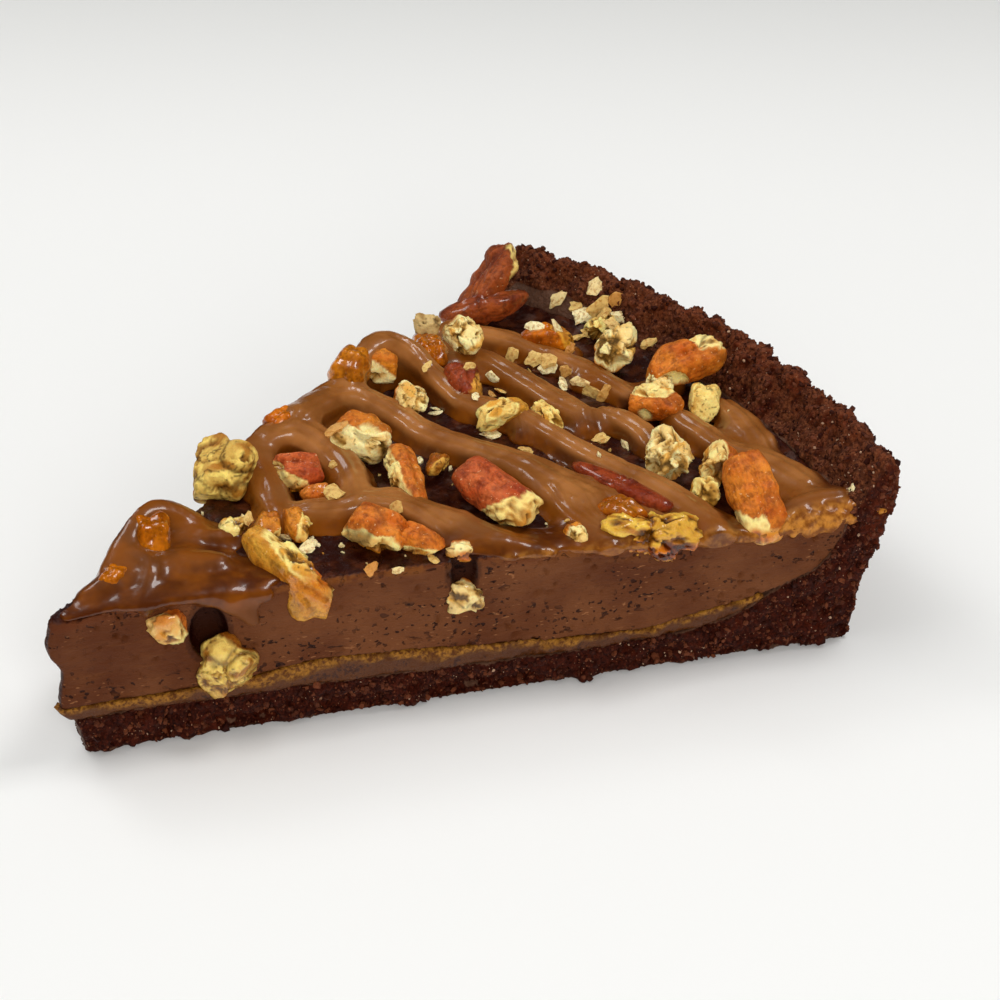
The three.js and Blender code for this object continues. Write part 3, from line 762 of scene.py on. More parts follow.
chocolate_material = chocolate.done(
    # Painted shade in the hollows of the cut.
    Base_Color=chocolate.blend(colour, (36, 10, 6), chocolate.measure("sunken") * 0.85),
    Roughness=0.3 + 0.38 * knifed + 0.2 * fine,
    Specular_IOR_Level=0.3,
    Normal=chocolate.bump(fine - holes * 1.8 + streaks * 0.2, 0.3),
)
filling_tree = BVHTree.FromBMesh(filling)
finished_piece("ganache_filling", filling, chocolate_material, ["ganache"])


# Pecans: halves broken by hand into pieces, pushed into the topping while it was soft. Each keeps
# some wrinkled orange-brown skin, and shows cream flesh where it broke.
seen_right = Vector((0.806, -0.592, 0.0))
seen_up = Vector((0.310, 0.422, 0.852))
seen_near = Vector((-0.505, -0.686, 0.524))

# Each piece has its middle, its length, width and height, its turn, pitch and roll in degrees, its
# finish, and the side on which it broke: towards the right, upwards and the near side of the view
# that shows the near cut. bare runs from -1, all flesh, to 1, all skin.
pecans = [
    ("tip_coated", (19.2, 6.8, 26.7), (9.4, 5.8, 6.8), (66, 0, 0), "amber", (0, -1, 0), 1.0),
    ("tip_small", (10, 1.8, 25.7), (5.2, 3.4, 3.2), (30, 0, 0), "amber", (0, -1, 0), 1.0),
    ("tip_front", (14, -5.4, 19.9), (5.8, 5, 7), (-22, 0, 60), "orange", (-0.3, -0.8, 0.6), -0.15),
    ("cut_pocket", (21.4, -8.4, 11.6), (11, 6.4, 9.6), (-22, -20, 0), "walnut", (-0.1, -0.9, 0.5), -0.3),
    ("far_left", (35.8, 14.6, 28.2), (11.4, 7.6, 10.5), (-35, -8, -70), "walnut", (-0.2, 0.4, 0.8), -0.7),
    ("red_small", (45.6, 9.2, 27.2), (7.6, 6.6, 5.6), (-25, 0, 25), "red", (-0.6, -0.9, 0), 0.15),
    ("orange_small", (45.2, 3.2, 26.2), (4.6, 3.4, 3.2), (-36, 0, 20), "orange", (0, -1, 0), 0.7),
    ("cream_tall", (58.2, 10, 28.2), (8.8, 5.2, 8), (-60, 15, -80), "cream", (-0.2, -0.9, 0.3), -0.2),
    ("long_slanted", (58.4, -1.6, 27), (16.6, 4.2, 4.4), (-112, 10, -40), "orange", (-0.95, -0.3, 0.1), 0.2),
    ("olive_small", (64.8, -0.4, 26.2), (6.6, 2.8, 3), (41, 10, 0), "olive", (0.6, -0.5, 0.3), 0.2),
    ("lobe_left", (46.4, -11, 27), (9, 6.6, 6), (-56, 0, 25), "orange", (-0.3, -1, 0.1), 0.3),
    ("lobe_right", (50.4, -15.8, 26), (7.4, 3.8, 4.8), (-66, 0, 20), "orange", (0, -1, 0), 0.4),
    ("edge_cream", (55.2, -19.9, 24.2), (4.4, 3, 3.2), (-44, 0, 0), "cream", (0.2, -0.8, 0.6), -0.5),
    ("red_long", (66.2, -14, 27.2), (18, 6.6, 6.2), (-84, 6, 22), "red", (0.45, -0.9, 0), 0.3),
    ("tan_first", (31, 2.8, 25.6), (6, 3.2, 3), (38, 0, 0), "pale", (-0.4, 0, 0.8), -0.6),
    ("tan_second", (34.8, 0, 26), (7.4, 4, 3.6), (64, 0, 10), "tan", (0.5, -0.8, 0), 0.4),
    ("tan_third", (38.4, -1.6, 26), (7.2, 3.4, 4), (76, 0, 0), "tan", (0.9, -0.3, 0), 0.3),
    ("near_long", (32.8, -9.6, 24.2), (17.4, 5, 6), (-68, 29, -15), "pale", (0.7, 0.7, 0.1), 0.15),
    ("arch_left", (67.4, 27.4, 29.4), (8.6, 5.4, 7.4), (34, -20, 0), "amber", (0, -1, 0), 0.9),
    ("arch_right", (72.4, 26, 29), (6, 4, 6), (-50, 0, -40), "cream", (-0.5, -0.8, 0.2), 0.15),
    ("far_coated", (50.4, 20.8, 28.4), (6.6, 4.4, 4.4), (12, 0, 0), "glazed", (0, -1, 0), 1.0),
    ("mid_cream", (72.4, 17.8, 26.9), (7.4, 4.4, 4.6), (60, 0, 30), "cream", (0.3, 0.4, 0.8), -0.1),
    ("red_oval", (83.2, 18.6, 26.2), (9.2, 5.4, 4.8), (72, 0, 15), "plum", (0.9, -0.4, 0.2), 0.55),
    ("rear_cream", (90.4, 29, 27.8), (8.8, 5.2, 4.4), (76, 0, -30), "cream", (-0.2, 0, 1), -0.4),
    ("rear_brown", (84.6, 30.4, 26.4), (9.6, 5, 4.2), (74, 0, 0), "amber", (0, -1, 0), 1.0),
    ("rear_grey", (86.8, 34, 28.4), (4.8, 4, 4.2), (60, 0, 0), "grey", (0, 0, 1), -1.0),
    ("corner_tall", (104.8, 41, 28.6), (15.4, 10.2, 4.2), (12, -38, -35), "russet", (1, 0.3, 0), 0.72),
    ("corner_low", (100.2, 36.4, 27), (14.6, 4.8, 4.2), (-26, -12, 0), "russet", (0, -1, 0), 1.0),
    ("rear_orange", (104.6, 24, 24.8), (8.4, 5, 4.4), (-40, 0, 0), "glazed", (0.9, 0.4, 0), 0.5),
    ("rear_flake", (113.6, 21.4, 25.2), (7, 5.4, 2.6), (60, 0, -25), "pale", (0, 0, 1), -1.0),
    ("cream_popped", (108.8, 12, 26.6), (9.4, 6, 6.6), (50, 0, 60), "cream", (0.2, 0.6, 0.7), -0.2),
    ("rim_orange", (114.6, 0.2, 27.8), (12.4, 6.6, 6), (-15, -12, 30), "orange", (0.6, 0.9, 0), 0.8),
    ("rim_cream", (109.4, 0.8, 25), (12, 3.8, 4.4), (56, 0, -20), "cream", (0.5, -0.2, 0.9), -0.4),
    ("rim_round", (111.6, -7.6, 24.7), (8.4, 4.8, 5), (50, 0, 10), "pale", (-0.3, 0.2, 0.8), -0.4),
    ("orange_flat", (104.6, -3.6, 25.2), (9, 5.6, 4.6), (-60, 0, 30), "orange", (0, 1, 0.1), 0.4),
    ("yellow_end", (82, 7, 25.8), (9, 4.6, 4.2), (-6, 0, 0), "pale", (-0.6, 0.3, 0.6), -0.2),
    ("yellow_flake", (88.2, 3, 25.3), (8.6, 2.8, 3.2), (80, 0, 0), "pale", (0, 0, 1), -0.6),
    ("curl", (95.4, -17.8, 25.2), (11, 6.4, 5.4), (42, 0, 40), "cream", (0, 0, 1), -0.7),
    ("orange_lobe", (100.4, -24.4, 25.3), (9.4, 4.4, 5.4), (46, 0, 40), "orange", (-0.8, 0.2, 0.4), -0.1),
    ("orange_big", (98.6, -34.6, 25), (15.4, 7.2, 6), (-108, 42, -10), "orange", (-0.25, -1, 0), 0.6),
    ("olive_cream", (94.4, -28.4, 24.4), (6, 3.6, 4), (66, 0, 0), "pale", (0, 0, 1), -0.3),
    ("red_strip", (84.2, -21, 25.1), (19, 3.4, 3.2), (-79, 0, 0), "plum", (0, -1, 0), 1.0),
    ("near_brown", (79.8, -26.2, 24.9), (7.4, 5.2, 4.2), (-70, 0, 0), "amber", (0.4, -0.9, 0), 0.8),
    ("near_yellow", (81.6, -31.2, 23.2), (19.4, 7, 8.8), (-24, 0, 60), "gold", (0, 0, 1), -1.2),
    ("near_cream", (71.2, -26.4, 24.2), (4.6, 2.8, 3.4), (70, 0, 0), "cream", (0.3, -0.5, 1), -0.2),
    ("notch_piece", (54.8, -21.3, 17.2), (6.2, 5, 4.6), (-22, 10, 80), "cream", (-0.2, -0.7, 0.7), -0.3),
]

# Hollows and lobes of single pieces: a place in shares of the piece's mean half size towards those
# same three sides, and a radius in mm.
pecan_bites = {
    "cream_tall": [((0.25, 0.35, 1.0), 2.4)],
    "far_left": [((-0.9, 0.0, 0.9), 1.2), ((0.9, -0.5, 0.8), 1.3)],
    "red_long": [((0.35, -1.2, 0.6), 2.0), ((1.25, -1.05, 0.5), 1.7)],
    "lobe_left": [((0.35, -1.1, 0.7), 1.6)],
    "curl": [
        ((-0.8, -0.45, 0.9), 2.0), ((0.5, 0.25, 1.0), 1.8), ((0.35, -0.8, 0.6), 1.6), ((-0.1, 0.6, 0.8), 1.2),
    ],
    "cream_popped": [((0.35, -0.75, 0.8), 1.9)],
    "cut_pocket": [((-0.25, -0.05, 1.0), 1.3), ((0.35, -0.3, 1.0), 1.1)],
    "near_yellow": [((-1.2, -0.2, 0.8), 1.5), ((0.1, -0.9, 0.8), 1.6), ((1.2, -0.9, 0.5), 1.5)],
    "near_long": [((-0.6, -0.55, 0.8), 1.7)],
    "rear_flake": [((-0.4, -0.6, 0.5), 1.4), ((0.7, 0.6, 0.5), 1.2)],
    "orange_lobe": [((-0.7, -0.3, 0.9), 1.3)],
    "rim_orange": [((-0.5, -0.9, 0.6), 2.2)],
    "arch_right": [((-0.5, -0.8, 0.6), 1.1)],
    "notch_piece": [((0.5, -0.6, 0.8), 1.0)],
    "orange_flat": [((-0.6, -0.9, 0.6), 1.8)],
}
pecan_lobes = {
    "far_left": [
        ((-0.3, 0.7, 0.1), 2.9), ((0.5, 0.35, 0.2), 2.9), ((-0.5, -0.7, 0.1), 3.1), ((0.3, -0.5, 0.1), 2.6),
    ],
    "cut_pocket": [((-0.1, 0.6, 0.3), 3.0), ((0.65, -0.1, 0.4), 2.6), ((-0.45, -0.75, 0.4), 2.9)],
    "red_small": [((-0.6, -0.6, 0.25), 2.6)],
    "near_long": [((0.3, -1.1, 0.3), 2.0)],
    "cream_popped": [((0.6, 0.7, 0.1), 2.4)],
    "near_yellow": [((-0.9, 0.2, 0.4), 2.2), ((0.3, -0.3, 0.4), 2.6), ((0.8, 0.0, 0.5), 2.5)],
    "rim_orange": [((0.9, 0.4, 0.0), 2.6)],
    "lobe_left": [((-0.35, 0.1, 0.2), 3.0)],
    "corner_tall": [((0.3, 0.8, 0.0), 2.4)],
}

# How deep the skin of single pieces is wrinkled, how much of a piece's size its lobes leave to the
# middle, how torn its flesh is, and how far it is bent.
wrinkled_pecans = {
    "tip_coated": 0.3, "corner_tall": 4.6, "corner_low": 2.0, "red_long": 1.6, "orange_big": 1.6,
}
body_shares = {
    "far_left": 0.7, "near_yellow": 0.7, "cut_pocket": 0.78, "cream_popped": 0.85, "red_small": 0.94,
}
ragged_pecans = {
    "curl": 1.2, "near_yellow": 1.6, "far_left": 0.6, "cut_pocket": 0.6, "rim_round": 0.3, "rear_flake": 1.3,
}
bent_pecans = {
    "corner_low": 0.022, "long_slanted": 0.02, "near_long": 0.008, "red_strip": 0.006, "curl": 0.04,
}

# How high above the filling single pieces are wet through, and how high caramel has run over them.
soaked_heights = {
    "far_left": -9, "red_small": 4.2, "near_yellow": 9, "near_long": 2.2, "near_brown": 9, "orange_small": 4,
    "tan_first": 3, "tan_second": 4, "tan_third": 3, "arch_left": 9, "corner_low": 9, "red_strip": 9,
    "cut_pocket": 9, "lobe_left": 1.6,
}
coated_heights = {
    "far_left": -9, "red_small": 2.0, "tip_coated": 9, "tip_small": 9, "arch_left": 3, "near_brown": 3,
    "rear_brown": 9, "yellow_end": 0.4,
}
coated_above = 0.8
coated_below = -4.0
coat_fade = 0.8
coat_wave = 0.8
soak_fade = 0.6
kernel_power = 2.2
large_pecan = 6.5
half_share = 0.58
groove_depth = 0.22
groove_width = 0.3
side_lean = 0.9
broken_lean = 1.3
break_nearness = 0.66
break_range = 0.24
skin_nearness = 0.16
pecan_edge = 0.22
skin_edge = 0.9
lobe_edge = 1.3
cleft_width = 0.45
cleft_depth = 0.12
wrinkle_depth = 0.11
wrinkle_size = (4.2, 0.75, 0.75)
crease_depth = 0.07
crease_size = (2.6, 0.32, 0.32)
plate_size = (3.6, 2.3, 2.3)
plate_tip = 1.1
plate_step = 0.4
chip_size = (1.7, 1.1, 1.1)
chip_share = 0.4
splinter_size = (2.2, 0.5, 0.5)
splinter_depth = 0.07
tear_sink = 0.18
warm_depth = (0.004, 0.002, 0.0008)


def number_for(seed, index):
    """The same piece and index always give the same number from 0 to 1."""
    wave = math.sin(seed * 12.9898 + index * 78.233) * 43758.5453
    return wave - math.floor(wave)


def break_planes(seed, half, side, bare):
    """The breaks of a piece: near both ends, under it, on its sides and three on its bare side."""
    faces = [(1, 0, 0), (-1, 0, 0), (0, 0, -1), (0, 1, 0.3), (0.2, -1, -0.4), side, side, side]
    planes = []
    for index, face in enumerate(faces):
        lean = side_lean if index < 5 else broken_lean
        slant = [lean * (number_for(seed, 5 * index + axis) - 0.5) for axis in range(3)]
        normal = (Vector(face) + Vector(slant)).normalized()
        support = Vector((normal.x * half.x, normal.y * half.y, normal.z * half.z)).length
        nearness = break_nearness + break_range * number_for(seed, 5 * index + 3)
        nearness += skin_nearness * max(0, bare)
        planes.append((np.array(normal), support * nearness))
    return planes


def towards(sides):
    """A direction given by how far it goes to the right, upwards and to the near side."""
    return seen_right * sides[0] + seen_up * sides[1] + seen_near * sides[2]


def lower_of(first, second, edge):
    """The smaller of two reaches, with the ridge where they meet rounded off by edge."""
    overlap = np.maximum(0, edge - np.abs(first - second)) / edge
    return np.minimum(first, second) - edge * overlap * overlap / 4


def ball_crossings(ways, middle, radius):
    """Where straight lines from the origin enter and leave a ball, and whether they meet it."""
    along = ways @ middle
    rest = along ** 2 - (middle @ middle - radius ** 2)
    meets = (rest > 0) & (along > 0)
    root = np.sqrt(np.maximum(rest, 0))
    return along - root, along + root, meets


def plates(points, size, salt):
    """Broken flesh as flat plates, each tipped its own way: their height, and a number for each."""
    _, offset, own = nearest_cells(points, size, salt)
    tip = np.stack([lattice_numbers(own, salt + 3 + axis) - 0.5 for axis in range(3)], axis=1)
    number = lattice_numbers(own, salt + 6)
    return (offset * tip).sum(axis=1) * plate_tip + plate_step * (number - 0.5), number


def pecan_form(name, size, seed, turn, broken_side, bare):
    """A broken kernel: wrinkled skin, cut by breaks and bites, torn where the flesh is bare."""
    # The whole kernel: an oblong with a groove along its back.
    half = Vector(size) * half_share
    form = bmesh.new()
    detail = 5 if size[0] > large_pecan else 4
    bmesh.ops.create_icosphere(form, subdivisions=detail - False, radius=1)
    ways = np.array([vert.co.normalized()[:] for vert in form.verts])
    back = np.array(turn.to_matrix())
    side = np.array(towards(broken_side).normalized())
    own_side = Vector(back.T @ side)
    body = half * body_shares.get(name, 1.0)
    oblong = (np.abs(ways / np.array(body)) ** kernel_power).sum(axis=1) ** (-1 / kernel_power)
    on_skin = soft_step(ways[:, 2], -0.1, 0.5)
    groove = groove_depth * on_skin * np.exp(-(ways[:, 1] / groove_width) ** 2)
    swell = 0.04 * np.sin(9 * ways[:, 0] + seed) + 0.1 * cloud(ways, 0.8, salt=seed)
    reach = oblong * (1 - groove + swell)

    # Lobes added to it, then breaks and bites taken off.
    scale = sum(size) / 6
    cleft = np.zeros(len(ways))
    for sides, radius in pecan_lobes.get(name, []):
        _, leaves, meets = ball_crossings(ways, back.T @ np.array(towards(sides)) * scale, radius)
        leaves = np.where(meets, leaves, 0)
        cleft = np.where(leaves > 0.6 * reach, np.exp(-((leaves - reach) / cleft_width) ** 2), cleft)
        reach = -lower_of(-reach, -leaves, lobe_edge)
    for number, (normal, distance) in enumerate(break_planes(seed, half, own_side, bare)):
        facing = np.maximum(ways @ normal, 0.05)
        edge = pecan_edge + skin_edge * max(0, bare) * (number < 5)
        reach = lower_of(reach, distance / facing, edge)
    bitten = np.zeros(len(ways))
    for sides, radius in pecan_bites.get(name, []):
        enters, _, meets = ball_crossings(ways, back.T @ np.array(towards(sides)) * scale, radius)
        enters = np.where(meets, np.maximum(enters, 0.3 * scale), 99.0)
        bitten = np.maximum(bitten, soft_step(reach - enters, 0, 0.5))
        reach = lower_of(reach, enters, pecan_edge)

    # Where it is flesh rather than skin, and the relief of both.
    places = ways * reach[:, None]
    facing = (ways @ back.T) @ side
    patchy = 0.16 * cloud(places, 2.4, salt=seed) + 0.08 * cloud(places, 0.9, salt=seed + 8)
    inward = facing + patchy - bare
    flesh = soft_step(inward, -0.03, 0.03) * (bare < 1)
    open_bites = bitten * soft_step(cloud(places, 2.0, salt=seed + 5), -0.4, -0.1)
    flesh = np.maximum(flesh, open_bites * (bare < 0.9))
    wrinkle = cloud(places, wrinkle_size, salt=seed + 1)
    crease = cloud(places, crease_size, salt=seed + 3)
    fold = wrinkle_depth * wrinkle * wrinkled_pecans.get(name, 1.0)
    fold = fold + 0.14 * cloud(places, 2.6, salt=seed + 2) + crease_depth * crease
    ragged = ragged_pecans.get(name, 1.0)
    bent = places + 0.4 * cloud(places, 1.6, salt=seed + 6)[:, None]
    rise, plate_number = plates(bent, plate_size, seed)
    chips, _ = plates(bent, chip_size, seed + 10)
    splinters = splinter_depth * cloud(places, splinter_size, salt=seed + 4)
    tear = ragged * (rise + chip_share * chips + splinters) - tear_sink
    reach = reach + fold * (1 - flesh) + tear * flesh - cleft_depth * cleft

    # Stains and brown lines, and painted shade in the hollows, for its finish.
    line = 1 - soft_step(np.abs(cloud(places, (3.0, 1.7, 1.7), salt=seed + 7) - 0.1), 0.01, 0.05)
    stain = 0.9 * soft_step(cloud(places, (3.5, 2.0, 2.0), salt=seed + 9), 0.15, 0.45)
    stain = np.maximum(stain, 0.5 * soft_step(plate_number, 0.68, 0.9))
    # The low places of the torn flesh take the deep colour too: painted shade.
    stain = np.maximum(stain, 0.9 * soft_step(-tear, 0.0, 0.45))
    fringe = 1 - soft_step(inward + 0.08 * cloud(places, 0.9, salt=seed), 0.05, 0.2)
    stain *= 1 - fringe
    # hollow: painted shade in the low torn flesh, bites, wrinkles, creases and clefts, together with the
    # flesh's real brown lines.
    hollow = flesh * (1 - fringe) * np.maximum(soft_step(-tear, 0.2, 0.55) + 0.8 * line, 0.5 * bitten)
    hollow += (1 - flesh) * (0.3 * soft_step(-wrinkle, 0.0, 0.5) + 0.5 * soft_step(-crease, 0.1, 0.5))
    hollow = np.maximum(hollow, 0.75 * cleft)

    places = ways * reach[:, None]
    bend = bent_pecans.get(name, 0)
    places[:, 1] += bend * (places[:, 0] ** 2 - half.x ** 2 / 3)
    put_points(form, places, flesh=flesh, hollow=np.clip(hollow, 0, 1), stain=stain)
    return form


def darker(colour, share):
    return tuple(channel * share for channel in colour)


def pecan_finish(tone, skin_dark, skin_light, flesh_pale, flesh_deep, roughness, glaze=0.0):
    shell = Finish("pecan_" + tone)
    flesh = shell.measure("flesh")
    hollow = shell.measure("hollow")
    glazed = shell.measure("glazed")
    wet = shell.measure("wet")
    patch = shell.spots(4.2, detail=3, roughness=0.6)
    fine = shell.spots(0.4, detail=3, roughness=0.65)
    shade = shell.spots(6, detail=3, roughness=0.7, shift=7.0).within(0.5, 0.72)
    dust = shell.spots(0.55, detail=2, roughness=0.7, shift=3.0).within(0.66, 0.72)
    ruck = shell.spots(1.3, detail=3, roughness=0.62, shift=13.0)
    # Painted shade in the low places of the fine relief.
    valley_shade = 1 - ruck.within(0.34, 0.52)
    skin = shell.coats(
        skin_dark,
        (skin_light, patch.within(0.25, 0.7)),
        # Painted shade in the wrinkles, creases and clefts of the skin.
        (darker(skin_dark, 0.55), hollow * 0.8),
        (darker(skin_dark, 0.72), shade * 0.6),
        (skin_light, fine.within(0.55, 0.75) * 0.35),
        # Painted shade in the relief's valleys.
        (darker(skin_dark, 0.6), valley_shade * 0.5),
        ((252, 214, 156), dust * (1 - wet) * 0.5),
    )
    meat = shell.coats(
        flesh_pale,
        # Stains, with painted shade in the low torn flesh.
        (flesh_deep, shell.measure("stain")),
        # Painted shade in the low torn flesh and bites, with its brown lines.
        (darker(flesh_deep, 0.4), hollow),
        # Painted shade in the relief's valleys.
        (flesh_deep, valley_shade * 0.25),
    )
    colour = shell.blend(skin, meat, flesh)
    soaked = (glazed * (0.45 + 0.4 * flesh) + wet * 0.2).within(0, 1.1)
    return shell.done(
        Base_Color=shell.blend(colour, (216, 146, 62), soaked, 'MULTIPLY'),
        Roughness=roughness + 0.2 * flesh * (1 - wet) - 0.15 * glazed,
        Specular_IOR_Level=0.3,
        Coat_Weight=(0.7 * glazed + 0.6 * wet + glaze).within(0, 1),
        Coat_Roughness=0.1,
        Subsurface_Weight=0.15,
        Subsurface_Radius=warm_depth,
        Subsurface_Scale=0.35,
        Normal=shell.bump(fine * 0.25 + ruck, 0.5 - glaze),
    )


# Dark and light skin, pale and deep flesh, how rough the skin is and how much of a glaze it has.
pecan_tones = {
    "red": ((178, 68, 28), (212, 108, 56), (255, 230, 140), (208, 130, 36), 0.5),
    "orange": ((196, 90, 22), (230, 136, 46), (255, 234, 150), (224, 144, 40), 0.5),
    "cream": ((188, 92, 16), (228, 140, 40), (255, 240, 168), (232, 166, 66), 0.55),
    "walnut": ((132, 68, 10), (184, 112, 32), (250, 216, 112), (168, 102, 20), 0.4),
    "gold": ((160, 84, 8), (214, 136, 30), (250, 208, 84), (190, 112, 14), 0.36),
    "pale": ((200, 122, 28), (234, 172, 64), (255, 234, 142), (220, 148, 40), 0.5),
    "olive": ((140, 70, 10), (190, 112, 30), (232, 178, 78), (156, 90, 18), 0.4),
    "grey": ((150, 108, 62), (186, 144, 92), (210, 178, 118), (150, 112, 60), 0.6),
    "tan": ((184, 98, 20), (228, 146, 46), (255, 226, 130), (210, 134, 32), 0.4),
    "glazed": ((166, 76, 8), (214, 116, 20), (228, 160, 52), (160, 92, 14), 0.3, 0.4),
    "amber": ((156, 82, 8), (214, 130, 24), (236, 170, 56), (160, 90, 12), 0.32, 0.25),
    "russet": ((118, 46, 14), (170, 84, 36), (248, 214, 122), (190, 114, 32), 0.5),
    "plum": ((116, 38, 18), (164, 72, 36), (228, 160, 62), (150, 90, 26), 0.36, 0.1),
}
pecan_materials = {tone: pecan_finish(tone, *colours) for tone, colours in pecan_tones.items()}
pecan_trees = []
for index, (name, place, size, (turn, pitch, roll), tone, broken_side, bare) in enumerate(pecans):
    angles = Euler((math.radians(roll), math.radians(pitch), math.radians(turn)), 'XYZ')
    form = pecan_form(name, size, index + 1, angles, broken_side, bare)
    bmesh.ops.rotate(form, verts=form.verts, matrix=angles.to_matrix())
    bmesh.ops.translate(form, verts=form.verts, vec=place)
    points, _ = points_and_normals(form)
    above = points[:, 2] - ganache_top_at(points) - coat_wave * cloud(points, 2.2)
    coated = coated_heights.get(name, coated_above)
    soaked = soaked_heights.get(name, 0)
    under_coat = 1 - soft_step(above, coated - coat_fade, coated + coat_fade)
    glazed = under_coat * soft_step(above, coated_below, 0)
    wet = 1 - soft_step(above, soaked - soak_fade, soaked + soak_fade)
    put_points(form, points, glazed=glazed, wet=wet)
    pecan_trees.append(BVHTree.FromBMesh(form))
    finished_piece("nut_" + name, form, pecan_materials[tone], ["pecan_" + name])


# Drizzle: thick milky caramel trailed from a spoon in strands across the slice. It sags over the
# pecans, runs together in pools at the point and thins to clear amber at its edges.
strand_flatness = 0.8
strand_wobble = 0.16
pool_depth = 2
bead_step = 0.9
noise_shift = 9.0
drizzle_voxel = 0.38
wider = 1.05
skirt_width = 1.38
skirt_ragged = 0.4
skirt_depth = 0.6
skirt_lifts = (-0.4, 2.4)
web_reach = 1.1
web_left = 0.05
sauce_overhang = 0.45
worn_radii = (44, 60)
rear_radii = (92, 100)
ridge_height = 0.16
mixing_spread = 6
points_at_once = 4000

